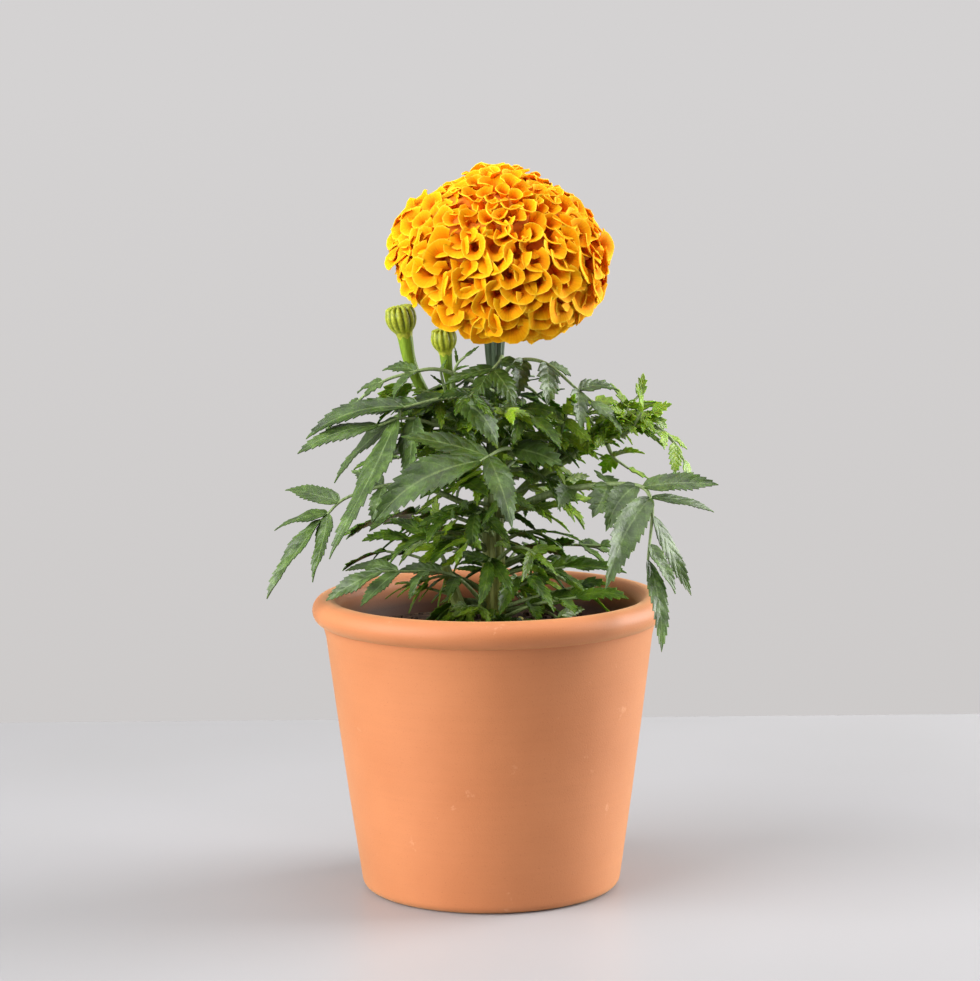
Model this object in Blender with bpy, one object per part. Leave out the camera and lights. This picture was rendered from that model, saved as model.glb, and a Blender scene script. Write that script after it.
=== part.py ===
# Potted african marigold: one orange double bloom, two ribbed buds and a mound
# of toothed compound leaves, growing from compost in a terracotta pot.
# Metres, +Z up, origin at the middle of the pot's underside on the floor.

import math
import random

import bmesh
import bpy
from mathutils import Quaternion, Vector

MM = 0.001
GAP = 0.3            # clear space between neighbouring pieces, in mm

# Pot, in mm
POT_HEIGHT = 117.0
POT_BASE_RADIUS = 51.6
POT_RIM_RADIUS = 70.0
RIM_ROLL_RADIUS = 5.4
WALL = 6.0
FLOOR = 8.0
FOOT_ROUNDING = 4.0
DRAIN_RADIUS = 10.0
UNDER_RIM_RADIUS = 65.3
STRAIGHT_WALL_TOP = 100.0
INNER_CORNER = 5
POT_SIDES = 34
POT_SMOOTH_ANGLE = math.radians(40)
# Stretches of the outline's round corners, in degrees
FOOT_SWEEP = (-90, -8)
RIM_SWEEP = (-75, 180)
CORNER_SWEEP = (0, -90)

# Compost, in mm
SOIL_TOP = 101.0
SOIL_MOUND = 2.5
SOIL_SIDES = 18
SOIL_CORNER = 7
SOIL_EDGE_ROOM = 0.2
SOIL_RINGS = (0.7, 0.35)
HOLE_SIDES = 16
HOLE_TOP = SOIL_TOP + 6.0
HOLE_FLARE = 0.1

# Leaves, in mm
BLADE_THICKNESS = 0.7
RIB_HALF_WIDTH = 0.9
RIB_HALF_HEIGHT = 0.8
ROOT_HALF_LENGTH = 1.1
NECK_LENGTH = 1.8
NARROWEST_HALF = 0.75
LONGEST_RIB_SPAN = 14.0
BROAD_LEAFLET = 8
# Shares: how high a leaflet arches, how much of that is left where it rises, where
# its neck lies and how wide that is, and how far a tooth leans and a notch cuts in
LEAFLET_ARCH = 0.14
RISING_ARCH = 0.2
LEAFLET_NECK = (0.07, 0.16)
TOOTH_LEAN = 0.35
NOTCH_WIDTH = 0.7

# Bloom, in mm
BLOOM_CENTRE = Vector((5.5, -13.0, 251.0))
BLOOM_TILT = math.radians(37.0)
BLOOM_TURN = math.radians(14.0)
BLOOM_RADIUS = 43.5
BLOOM_TOP = 31.5
BLOOM_BELOW = 19.0
CORE_SHARE = 0.74
FLORETS = 108
FLORET_THICKNESS = 0.8
FLORET_ROOT_SINK = 0.07
SEAT_BELOW = 19.0
SEAT_RADIUS = 8.0
SEAT_SIDES = 12
SEAT_ROOT_BELOW = 8.0
# A floret's width, its flare (mm) and its half curl (degrees) at the pole, and what
# is added on the way to the angle where the florets are full grown
FLORET_WIDTH = (8.5, 5.0)
FLORET_FLARE = (1.5, 3.5)
FLORET_CURL = (118, -50)
FULL_GROWN_ANGLE = math.radians(70)
# The florets cover this much of the head from its pole, and crowd towards it
DOME_COVER = 1.62
DOME_CROWDING = 1.12

# Colours as sRGB hex, and roughness
TERRACOTTA = "D98A5C"
PEAT_BROWN = "3A2C22"
PETAL_ORANGE = "F2A10C"
GREEN_GREY = "66805F"
GREEN_BRIGHT = "7FA03A"
GREEN_STEM = "8FA566"
BUD_OLIVE = "8C9A4A"
CLAY_ROUGHNESS = 0.75
PEAT_ROUGHNESS = 0.95
GREEN_ROUGHNESS = 0.6
PETAL_ROUGHNESS = 0.55


def linear(value):
    value = value / 255.0
    if value <= 0.04045:
        return value / 12.92
    return ((value + 0.055) / 1.055) ** 2.4


def paint(name, hex_colour, roughness):
    """One Principled material with a colour given as sRGB hex."""
    made = bpy.data.materials.get(name)
    if made is None:
        made = bpy.data.materials.new(name)
        made.use_nodes = True
        shader = made.node_tree.nodes["Principled BSDF"]
        channels = [linear(int(hex_colour[i:i + 2], 16)) for i in (0, 2, 4)]
        shader.inputs["Base Color"].default_value = (*channels, 1.0)
        shader.inputs["Roughness"].default_value = roughness
        made.diffuse_color = (*channels, 1.0)
    return made


def place(mesh_builder, name, material):
    """Turns a bmesh in millimetres into a named object in metres."""
    bmesh.ops.recalc_face_normals(mesh_builder, faces=mesh_builder.faces)
    bmesh.ops.triangulate(mesh_builder, faces=mesh_builder.faces)
    bmesh.ops.scale(mesh_builder, vec=(MM, MM, MM), verts=mesh_builder.verts)
    mesh = bpy.data.meshes.new(name)
    mesh_builder.to_mesh(mesh)
    mesh_builder.free()
    mesh.materials.append(material)
    piece = bpy.data.objects.new(name, mesh)
    bpy.context.scene.collection.objects.link(piece)
    return piece


def turned(profile, sides):
    """Spins a closed outline of (radius, height) points about the pot's axis."""
    builder = bmesh.new()
    corners = [builder.verts.new((radius, 0.0, height)) for radius, height in profile]
    edges = [builder.edges.new((corners[i - 1], corners[i])) for i in range(len(corners))]
    bmesh.ops.spin(builder, geom=corners + edges, cent=(0, 0, 0), axis=(0, 0, 1),
                   angle=math.tau, steps=sides, use_merge=False, use_duplicate=False)
    bmesh.ops.remove_doubles(builder, verts=builder.verts, dist=0.001)
    return builder


def arc(centre, radius, start, end, steps):
    """Points on a circle in the (radius, height) plane, angles in degrees."""
    points = []
    for step in range(steps + 1):
        angle = math.radians(start + (end - start) * step / steps)
        points.append((centre[0] + radius * math.cos(angle), centre[1] + radius * math.sin(angle)))
    return points


def inner_radius(height):
    """Radius of the pot's inner wall, which runs parallel to the outer taper."""
    slope = (UNDER_RIM_RADIUS - POT_BASE_RADIUS) / (POT_HEIGHT - 2 * RIM_ROLL_RADIUS)
    return POT_BASE_RADIUS - WALL + slope * height


def make_pot():
    roll = (POT_RIM_RADIUS - RIM_ROLL_RADIUS, POT_HEIGHT - RIM_ROLL_RADIUS)
    foot = (POT_BASE_RADIUS - FOOT_ROUNDING, FOOT_ROUNDING)
    outline = [(DRAIN_RADIUS, 0.0)]
    corner_top = FLOOR + INNER_CORNER
    corner = (inner_radius(corner_top) - INNER_CORNER, corner_top)
    outline += arc(foot, FOOT_ROUNDING, *FOOT_SWEEP, 2)
    outline += arc(roll, RIM_ROLL_RADIUS, *RIM_SWEEP, 8)
    outline += [(inner_radius(STRAIGHT_WALL_TOP), STRAIGHT_WALL_TOP)]
    outline += arc(corner, INNER_CORNER, *CORNER_SWEEP, 2)
    outline += [(DRAIN_RADIUS, FLOOR)]
    pot = place(turned(outline, POT_SIDES), "pot", paint("terracotta", TERRACOTTA, CLAY_ROUGHNESS))
    pot.data.shade_smooth()
    pot.data.set_sharp_from_angle(angle=POT_SMOOTH_ANGLE)
    return pot


STEM_PATH = [(1.5, 0, 78), (1.7, 0, 100), (2, 0, 125), (2, 0, 150), (2.8, 0.6, 178),
             (3.1, 1.6, 196), (3.1, 2.3, 212), (3.0, 2.4, 221)]
STEM_RADII = [4.4, 4.7, 4.3, 3.7, 2.9, 2.3, 3.4, 4.2]
STEM_SIDES = 12
STEM_RIDGE = 0.05
CUP_NECK_BELOW = 5.0
CUP_NECK_RADIUS = 6.2


def bloom_axis():
    flat = Vector((math.sin(BLOOM_TURN), -math.cos(BLOOM_TURN), 0.0))
    return flat * math.sin(BLOOM_TILT) + Vector((0, 0, 1)) * math.cos(BLOOM_TILT)


def on_stem(height, azimuth, clear=GAP + 0.1):
    """A point beside the main stem at a height, and the way it faces."""
    for low, high, r_low, r_high in zip(STEM_PATH, STEM_PATH[1:], STEM_RADII, STEM_RADII[1:]):
        if low[2] <= height <= high[2]:
            share = (height - low[2]) / (high[2] - low[2])
            centre = Vector(low).lerp(Vector(high), share)
            radius = r_low + (r_high - r_low) * share
    out = Vector((math.cos(math.radians(azimuth)), math.sin(math.radians(azimuth)), 0.0))
    return centre + out * (radius + clear), out


def smooth_path(points, steps):
    """Catmull-Rom curve through the points, with even steps on each span."""
    knots = [Vector(p) for p in points]
    knots = [knots[0] * 2 - knots[1]] + knots + [knots[-1] * 2 - knots[-2]]
    path = []
    for i in range(1, len(knots) - 2):
        before, start, end, after = knots[i - 1:i + 3]
        for step in range(steps):
            t = step / steps
            path.append(0.5 * (2 * start + (end - before) * t
                               + (2 * before - 5 * start + 4 * end - after) * t ** 2
                               + (3 * start - before - 3 * end + after) * t ** 3))
    path.append(knots[-2])
    return path


def tube(points, radii, sides, ridge=0.0, end_direction=None, start_direction=None):
    """A round or ridged stem: rings square to the path, bridged and capped."""
    builder = bmesh.new()
    centres = [Vector(p) for p in points]
    tangents = []
    for i, centre in enumerate(centres):
        ahead = centres[min(i + 1, len(centres) - 1)]
        behind = centres[max(i - 1, 0)]
        tangents.append((ahead - behind).normalized())
    if end_direction is not None:
        tangents[-1] = end_direction
    if start_direction is not None:
        tangents[0] = start_direction
    side = tangents[0].orthogonal().normalized()
    rings = []
    for centre, tangent, radius in zip(centres, tangents, radii):
        side = (side - tangent * side.dot(tangent)).normalized()
        other = tangent.cross(side)
        ring = []
        for k in range(sides):
            angle = math.tau * k / sides
            reach = radius * (1.0 + (ridge if k % 2 == 0 else -ridge))
            ring.append(builder.verts.new(centre + side * reach * math.cos(angle)
                                          + other * reach * math.sin(angle)))
        rings.append(ring)
    for low, high in zip(rings, rings[1:]):
        for k in range(sides):
            builder.faces.new((low[k - 1], low[k], high[k], high[k - 1]))
    builder.faces.new(rings[0])
    builder.faces.new(rings[-1])
    return builder


def make_main_stem():
    axis = bloom_axis()
    seat = BLOOM_CENTRE - axis * (SEAT_BELOW + GAP)
    path = STEM_PATH + [seat - axis * CUP_NECK_BELOW, seat]
    radii = STEM_RADII + [CUP_NECK_RADIUS, SEAT_RADIUS]
    builder = tube(path, radii, STEM_SIDES, STEM_RIDGE, axis)
    return place(builder, "main_stem", paint("green_stem", GREEN_STEM, GREEN_ROUGHNESS))


STEM_LEFT_PATH = [(-9, -3, 78), (-10.2, -3.6, 105), (-13.5, -5, 118), (-17, -6.5, 129)]
STEM_LEFT_RADII = [2.4, 2.5, 2.2, 1.7]
STEM_LEFT_RIDGE = 0.06
SIDE_STEM_SIDES = 8
# The side shoot: height and azimuth of its foot, first step out and up, the points
# that it runs through, its radius at the foot and what it loses to the tip, and the
# steps and radii of its tiny bud
SHOOT_FOOT = (153, 10)
SHOOT_FIRST_OUT = 5
SHOOT_FIRST_UP = 2.5
SHOOT_KNOTS = [(20, 3, 163.5), (42, 3.5, 175.5), (57, 1.5, 183)]
SHOOT_RADIUS = 2.3
SHOOT_THINNING = 1.2
TINY_BUD_STEPS = [(1.2, -0.3, 0.7), (2.6, -0.6, 1.6), (4.2, -0.9, 2.6)]
TINY_BUD_RADII = [1.5, 2.2, 1.2]


def make_side_stems():
    left = tube(STEM_LEFT_PATH, STEM_LEFT_RADII, SIDE_STEM_SIDES, STEM_LEFT_RIDGE)
    place(left, "stem_left", paint("green_stem", GREEN_STEM, GREEN_ROUGHNESS))
    start, out = on_stem(*SHOOT_FOOT)
    first_knot = start + out * SHOOT_FIRST_OUT + Vector((0, 0, SHOOT_FIRST_UP))
    path = smooth_path([start, first_knot] + SHOOT_KNOTS, 2)
    radii = [SHOOT_RADIUS - SHOOT_THINNING * i / (len(path) - 1) for i in range(len(path))]
    tip = path[-1]
    path += [tip + Vector(step) for step in TINY_BUD_STEPS]
    radii += TINY_BUD_RADII
    branch = tube(path, radii, SIDE_STEM_SIDES, 0.0, None, out)
    place(branch, "branch_right", paint("green_stem", GREEN_STEM, GREEN_ROUGHNESS))


# Buds: name, height and azimuth of the stalk's foot, the points that it runs
# through, radius and height of the head. The outline holds shares of those two.
BUDS = [
    ("bud_1", (158, 165), [(-18, 2, 185), (-29, 1, 206), (-32.3, 0, 221)], 6.2, 12.0),
    ("bud_2", (172, 185), [(-11, -1, 190), (-15, -3, 204), (-16.2, -4, 214)], 5.2, 9.5),
]
BUD_OUTLINE = [(0.12, 0.6), (0.32, 0.94), (0.62, 1.0), (0.88, 0.74), (1.0, 0.35)]
BUD_STALK_RADIUS = 1.2
BUD_NECK_SHARE = 0.5
BUD_FIRST_OUT = 4
BUD_FIRST_UP = 2.5
BUD_SIDES = 10
BUD_RIDGE = 0.07


def make_bud(name, start_at, knots, head_radius, head_height, material):
    """A stalk that swells under a ribbed green head, grown as one piece."""
    start, out = on_stem(*start_at)
    stalk = smooth_path([start, start + out * BUD_FIRST_OUT + Vector((0, 0, BUD_FIRST_UP))] + knots, 2)
    neck = stalk[-1]
    up = (stalk[-1] - stalk[-2]).normalized()
    share = [i / (len(stalk) - 1) for i in range(len(stalk))]
    swelling = BUD_NECK_SHARE * head_radius - BUD_STALK_RADIUS
    radii = [BUD_STALK_RADIUS + swelling * s ** 3 for s in share]
    path = stalk + [neck + up * head_height * along for along, _ in BUD_OUTLINE]
    radii += [head_radius * wide for _, wide in BUD_OUTLINE]
    builder = tube(path, radii, BUD_SIDES, BUD_RIDGE, None, out)
    return place(builder, name, material)


def rib_rings(builder, points, marks, first_out, face):
    """Rings of four corners along a leaf's rib, at the given shares of its length."""
    path = smooth_path(points, 8)
    lengths = [0.0]
    for a, b in zip(path, path[1:]):
        lengths.append(lengths[-1] + (b - a).length)
    total = lengths[-1]

    def at(share):
        want = share * total
        for i in range(len(path) - 1):
            if lengths[i + 1] >= want:
                part = (want - lengths[i]) / max(lengths[i + 1] - lengths[i], 1e-9)
                return path[i].lerp(path[i + 1], part), (path[i + 1] - path[i]).normalized()
        return path[-1], (path[-1] - path[-2]).normalized()

    half = ROOT_HALF_LENGTH / total
    shares = {0.0, 1.0}
    for mark in marks:
        if mark < 1.0:
            shares.update((mark - half, mark + half))
    shares = sorted(shares)
    filled = [shares[0]]
    for share in shares[1:]:
        if (share - filled[-1]) * total > LONGEST_RIB_SPAN:
            filled.append((share + filled[-1]) / 2)
        filled.append(share)
    rings = []
    for share in filled:
        centre, tangent = at(share)
        if share == 0.0 and first_out is not None:
            tangent = first_out
        up = (face - tangent * face.dot(tangent)).normalized()
        side = tangent.cross(up)
        wide = RIB_HALF_WIDTH * (1.25 - 0.5 * share)
        tall = RIB_HALF_HEIGHT * (1.15 - 0.35 * share)
        corners = [(wide, tall), (-wide, tall), (-wide, -tall), (wide, -tall)]
        rings.append([builder.verts.new(centre + side * a + up * b) for a, b in corners])
    return filled, rings, total, at


def blade_outline(teeth):
    """Shares of length and width at the neck and at each tooth and notch."""
    stations = [LEAFLET_NECK]
    for tooth in range(teeth):
        along = (tooth + 0.85) / (teeth + TOOTH_LEAN)
        swell = math.sin(math.pi * (0.12 + 0.8 * along)) ** 0.7
        stations.append((along, swell))
        if tooth < teeth - 1:
            stations.append((along + TOOTH_LEAN / (teeth + TOOTH_LEAN), swell * NOTCH_WIDTH))
    return stations


def grow_blade(builder, root, tip, width, face, arch, teeth):
    """Extends the four root corners into a thin toothed leaflet that ends at tip."""
    base = sum((v.co for v in root), Vector()) / 4
    tip = Vector(tip)
    span = tip - base
    length = span.length
    lift = Vector((0, 0, 1)) - span.normalized() * span.normalized().z
    if span.z > RISING_ARCH * length:
        arch = arch * RISING_ARCH
    control = (base + tip) / 2 + lift * arch * length

    def at(t):
        point = base * (1 - t) ** 2 + control * 2 * t * (1 - t) + tip * t ** 2
        tangent = ((control - base) * (1 - t) + (tip - control) * t).normalized()
        return point, tangent

    last = root
    for along, wide in blade_outline(teeth):
        along = max(along, NECK_LENGTH / length)
        point, tangent = at(along)
        up = (face - tangent * face.dot(tangent)).normalized()
        side = tangent.cross(up)
        a = max(width * wide / 2, NARROWEST_HALF)
        b = BLADE_THICKNESS / 2
        corners = [point + side * a + up * b, point - side * a + up * b,
                   point - side * a - up * b, point + side * a - up * b]
        if last is root:
            shift = min(range(4), key=lambda s: sum((root[(k + s) % 4].co - corners[k]).length
                                                    for k in range(4)))
            last = [root[(k + shift) % 4] for k in range(4)]
        ring = [builder.verts.new(corner) for corner in corners]
        right_top, left_top, left_low, right_low = last
        new_right, new_left, new_left_low, new_right_low = ring
        builder.faces.new((right_top, left_top, new_left))
        builder.faces.new((right_top, new_left, new_right))
        builder.faces.new((right_low, new_left_low, left_low))
        builder.faces.new((right_low, new_right_low, new_left_low))
        builder.faces.new((left_top, left_low, new_left_low, new_left))
        builder.faces.new((right_low, right_top, new_right, new_right_low))
        last = ring
    up = (face - tangent * face.dot(tangent)).normalized()
    top = builder.verts.new(tip + up * BLADE_THICKNESS / 2)
    low = builder.verts.new(tip - up * BLADE_THICKNESS / 2)
    right_top, left_top, left_low, right_low = last
    builder.faces.new((right_top, left_top, top))
    builder.faces.new((left_low, right_low, low))
    builder.faces.new((left_top, left_low, low, top))
    builder.faces.new((right_low, right_top, top, low))


def make_leaf(name, foot, points, blades, material, face=None):
    """One compound leaf: a stalk and rib with toothed leaflets grown from its sides."""
    builder = bmesh.new()
    first_out = None
    if foot:
        start, first_out = on_stem(*foot)
        points = [start] + points
    if face is None:
        end = Vector(points[-1])
        face = Vector((end.x, end.y, 0.0)).normalized() * 0.45 + Vector((0, -0.25, 0.8))
    face = face.normalized()
    marks = sorted({blade[0] for blade in blades})
    shares, rings, total, at = rib_rings(builder, points, marks, first_out, face)
    taken = {}
    for mark, tip, width in blades:
        teeth = 3 if width >= BROAD_LEAFLET else 2
        if mark >= 1.0:
            taken[("end", 0)] = (rings[-1], tip, width, teeth)
            continue
        centre, tangent = at(mark)
        up = (face - tangent * face.dot(tangent)).normalized()
        side = tangent.cross(up)
        left = (Vector(tip) - centre).dot(side) < 0
        step = max(i for i, share in enumerate(shares[:-1]) if share <= mark)
        low, high = rings[step], rings[step + 1]
        quad = (low[1], low[2], high[2], high[1]) if left else (low[3], low[0], high[0], high[3])
        taken[(step, left)] = (quad, tip, width, teeth)
    for step, (low, high) in enumerate(zip(rings, rings[1:])):
        builder.faces.new((low[0], low[1], high[1], high[0]))
        builder.faces.new((low[2], low[3], high[3], high[2]))
        if (step, True) not in taken:
            builder.faces.new((low[1], low[2], high[2], high[1]))
        if (step, False) not in taken:
            builder.faces.new((low[3], low[0], high[0], high[3]))
    builder.faces.new(rings[0])
    if ("end", 0) not in taken:
        builder.faces.new(rings[-1])
    for quad, tip, width, teeth in taken.values():
        grow_blade(builder, list(quad), tip, width, face, LEAFLET_ARCH, teeth)
    return place(builder, name, material)


# Leaves seen from the front. Each row holds the height and azimuth of its foot
# on the main stem (or no foot, for a leaf on a side stem), the points that its
# rib runs through, and its leaflets: share of the rib, tip and width, in mm.
LEAVES = [
    ("leaf_upper_left", (178, 235), [(-29, -19, 189), (-42, -24, 187)], [
        (1.0, (-73, -30, 177), 8), (0.84, (-60, -10, 163), 9), (0.84, (-60, -56, 140), 13),
        (0.7, (-30, -42, 167), 9)]),
    ("leaf_over_left", (186, 215), [(-8, -12, 195), (-17, -20, 197), (-32, -24, 194)], [
        (1.0, (-70, -24, 182), 8), (0.5, (4, -34, 180), 12), (0.88, (-50, -9, 190), 6),
        (0.62, (-36, -5, 190), 6)]),
    ("leaf_top_left", (199, 215), [(-18, -9, 207), (-30, -11, 206), (-42, -12, 202), (-55, -12, 191)], [
        (1.0, (-63, -12, 183), 5), (0.5, (-36, -22, 197), 6), (0.72, (-47, -21, 198), 5),
        (0.5, (-41, 0, 206), 5), (0.72, (-51, 1, 197), 5), (0.9, (-58, -2, 188), 5)]),
    ("leaf_lower_left", (150, 190), [(-30, -8, 162), (-54, -12, 158), (-65, -14, 149)], [
        (1.0, (-86.5, -20, 119), 9), (0.95, (-84, -7, 144), 7), (0.86, (-80, 0, 159), 8),
        (0.95, (-68, -30, 127), 7), (0.6, (-54, 4, 166), 6), (0.6, (-45, -21, 149), 6)]),
    ("leaf_centre", (168, 312), [(11, -12, 175), (6, -28, 178), (-3, -42, 175)], [
        (1.0, (-43, -58, 154), 17), (0.88, (-33, -36, 184), 11), (0.88, (9, -62, 152), 10),
        (0.45, (29, -26, 171), 10)]),
    ("leaf_neck", (211, 320), [(5, -9, 210), (0, -14, 205)], [
        (1.0, (-5, -22, 196), 6), (0.8, (11, -23, 194), 7), (0.45, (14, -14, 207), 5),
        (0.75, (-17, -13, 201), 5)]),
    ("leaf_upper_right", (203, 330), [(12, -6, 210), (23, -7, 209), (35, -9, 199), (41, -10, 194)], [
        (1.0, (52, -18, 182), 10), (0.3, (12, -17, 197), 7), (0.5, (23, -21, 194), 8),
        (0.85, (36, -23, 185), 7), (0.85, (52, 1, 197), 6), (0.55, (33, 7, 203), 6)]),
    ("leaf_right", (149, 330), [(28, -10, 159), (55, -22, 163), (63, -28, 157), (61, -40, 136)], [
        (1.0, (65, -60, 104), 7), (0.66, (89, -26, 163), 8), (0.72, (88, -16, 151), 4),
        (0.8, (78, -33, 121), 6), (0.93, (71, -47, 124), 6), (0.72, (44, -58, 128), 14),
        (0.63, (45, -38, 147), 8), (0.5, (40, -35, 152), 9), (0.5, (44, -3, 164), 8),
        (0.33, (27, -26, 154), 7)]),
    ("leaf_back_lit", (146, 35), [(20, 12, 154), (31, 16, 152)], [
        (1.0, (44, 22, 150), 10), (0.82, (38, 2, 142), 8), (0.5, (25, 0, 145), 7), (0.6, (27, 31, 154), 8)]),
    ("leaf_right_low", (129, 30), [(25, 13, 134), (45, 18, 133)], [
        (1.0, (58, 21, 130), 8), (0.5, (34, 0, 138), 6), (0.8, (47, 4, 126), 6),
        (0.8, (51, 32, 127), 7), (0.45, (26, 29, 129), 7)]),
    ("leaf_front_right", (120, 340), [(19, -6, 126), (30, -10, 129)], [
        (1.0, (54, -14, 127), 9), (0.78, (37, -25, 122), 6), (0.7, (41, 2, 130), 6),
        (0.45, (22, -19, 124), 6)]),
    ("leaf_foot_front", (116, 300), [(10, -14, 125), (16, -21, 127)], [
        (1.0, (25, -38, 116), 7), (0.7, (4, -34, 114), 8)]),
    ("leaf_foot_right", (108, 330), [(18, -15, 115), (34, -23, 119)], [
        (1.0, (54, -31, 119.5), 8), (0.78, (33, -42, 116), 8), (0.45, (19, -34, 111), 7),
        (0.6, (39, -9, 117), 6)]),
    ("leaf_front_low", (127, 275), [(1, -14, 133), (0, -21, 133)], [
        (1.0, (-4, -37, 118), 6), (0.7, (-14, -27, 138), 6), (0.75, (9, -33, 122), 6)]),
    ("leaf_front_mid", (141, 262), [(-2, -14, 151), (-5, -22, 152)], [
        (1.0, (-6, -32, 139), 7), (0.75, (8, -27, 141), 7), (0.7, (-18, -24, 150), 6)]),
    ("leaf_young_left", (), [(-17.2, -8.2, 131), (-20, -10, 139), (-20, -9, 147)], [
        (1.0, (-20, -8, 157), 4), (0.6, (-30, -3, 149), 4), (0.6, (-12, -16, 149), 4)]),
    ("leaf_low_left", (135, 222), [(-16, -16, 142), (-31, -20, 142)], [
        (1.0, (-49, -24, 142), 7), (0.78, (-39, -4, 148), 5), (0.78, (-38, -38, 135), 6),
        (0.45, (-22, -34, 134), 7)]),
    ("leaf_rim_left", (113, 228), [(-15, -20, 128), (-41, -30, 131)], [
        (1.0, (-63, -29, 119.5), 9), (0.88, (-56, -15, 129), 6), (0.88, (-49, -46, 120), 7),
        (0.68, (-30, -47, 123), 8), (0.42, (-16, -37, 122), 7), (0.55, (-35, -8, 128), 6)]),
    ("leaf_shoot_front", (), [(53, -0.2, 179.2), (57, -6, 184), (60, -12, 190)], [
        (1.0, (58, -16, 201), 4), (0.55, (70, -4, 186), 4), (0.55, (47, -8, 192), 5)]),
    ("leaf_shoot_back", (), [(53.0, 3.9, 182.9), (56, 8, 190), (60, 11, 194)], [
        (1.0, (62, 13, 203), 4), (0.55, (68, 4, 192), 4), (0.55, (49, 14, 199), 5)]),
    ("leaf_shoot_arch", (), [(62.6, -0.6, 184.6), (68, -2, 182), (74, -2, 176), (77, -2, 170)], [
        (1.0, (80, -2, 160), 5), (0.3, (69, -10, 175), 4), (0.65, (73, -10, 165), 5),
        (0.45, (79, 7, 173), 4)]),
    ("leaf_shoot_mid", (), [(32, 0.6, 169), (36, -5, 176), (39, -9, 182)], [
        (1.0, (38, -14, 192), 5), (0.55, (49, -9, 178), 6), (0.55, (25, -12, 180), 6)]),
    ("leaf_shoot_fan", (), [(38, 4.5, 175.3), (38, 10, 185), (43, 13, 191)], [
        (1.0, (53, 18, 190), 6), (0.55, (47, 6, 187), 5), (0.55, (28, 15, 189), 7)]),
    ("leaf_shoot_low", (), [(47, 4.1, 176.3), (50, 9, 170), (56, 12, 165)], [
        (1.0, (67, 12, 158), 6), (0.5, (62, 2, 172), 6), (0.5, (46, 19, 162), 6)]),
    ("leaf_middle", (190, 300), [(10, -12, 193), (18, -20, 189)], [
        (1.0, (28, -32, 178), 8), (0.7, (30, -14, 187), 7), (0.7, (10, -31, 180), 7)]),
    ("leaf_middle_low", (158, 250), [(-7, -14, 164), (-14, -22, 165)], [
        (1.0, (-26, -36, 160), 8), (0.6, (-23, -8, 166), 7), (0.7, (0, -34, 160), 7)]),
]

# Leaves at the back and in the middle follow one rule: foot height, azimuth,
# reach, rise at the middle, fall at the end, leaflet pairs, leaflet length, width.
FILL_LEAVES = [
    ("leaf_back_1", 122, 70, 36, 9, 0, 2, 18, 7),
    ("leaf_back_2", 134, 108, 44, 8, 6, 3, 20, 8),
    ("leaf_back_3", 143, 150, 50, 9, 10, 3, 22, 8),
    ("leaf_back_4", 158, 62, 42, 8, 8, 3, 20, 8),
    ("leaf_back_5", 165, 100, 42, 8, 12, 3, 22, 8),
    ("leaf_back_6", 173, 142, 46, 9, 14, 3, 22, 8),
    ("leaf_back_7", 183, 60, 38, 8, 10, 3, 18, 7),
    ("leaf_back_8", 194, 105, 34, 8, 14, 2, 20, 7),
    ("leaf_back_9", 118, 172, 38, 12, -4, 2, 18, 7),
]


def fill_leaf(name, height, azimuth, reach, rise, fall, pairs, length, width, material):
    """A leaf from the rule: an arched rib with pairs of leaflets and one at the end."""
    draw = random.Random(name)
    start, out = on_stem(height, azimuth)
    side = Vector((-out.y, out.x, 0.0))
    points = []
    for share in (0.35, 0.7, 1.0):
        up = rise * math.sin(math.pi * 0.6 * share) - fall * share ** 2
        points.append(start + out * reach * share + Vector((0, 0, up)))
    blades = []
    for pair in range(pairs):
        share = 0.42 + 0.42 * pair / max(pairs - 1, 1)
        for way in (-1, 1):
            spread = math.radians(draw.uniform(56, 70) - 8 * share)
            reach_here = length * (0.75 + 0.35 * share) * draw.uniform(0.88, 1.1)
            centre = start + out * reach * share
            level = start.z + rise * math.sin(math.pi * 0.6 * share) - fall * share ** 2
            tip = centre + out * math.cos(spread) * reach_here + side * way * math.sin(spread) * reach_here
            tip.z = level - reach_here * draw.uniform(0.2, 0.45)
            blades.append((round(share, 2), tip, width * draw.uniform(0.85, 1.1)))
    end = Vector(points[-1])
    blades.append((1.0, end + out * length + Vector((0, 0, -length * 0.45)), width * 1.1))
    face = out * 0.5 + Vector((0, 0, 0.85))
    return make_leaf(name, (height, azimuth), points, blades, material, face)


def make_leaves():
    dark = paint("leaf_green", GREEN_GREY, GREEN_ROUGHNESS)
    young = paint("leaf_young_green", GREEN_BRIGHT, GREEN_ROUGHNESS)
    for name, foot, rib, blades in LEAVES:
        fresh = "shoot" in name or "lit" in name or "young" in name
        make_leaf(name, foot, rib, blades, young if fresh else dark)
    for row in FILL_LEAVES:
        fill_leaf(*row, dark)


def soil_height(x, y):
    """Gently mounded, crumbly compost."""
    out = math.hypot(x, y) / inner_radius(SOIL_TOP)
    bump = math.sin(x * 0.31 + 1.0) * math.cos(y * 0.27) + 0.6 * math.sin(x * 0.6 - y * 0.5)
    return SOIL_TOP + SOIL_MOUND * (1 - out ** 2) + 0.5 * bump


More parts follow.
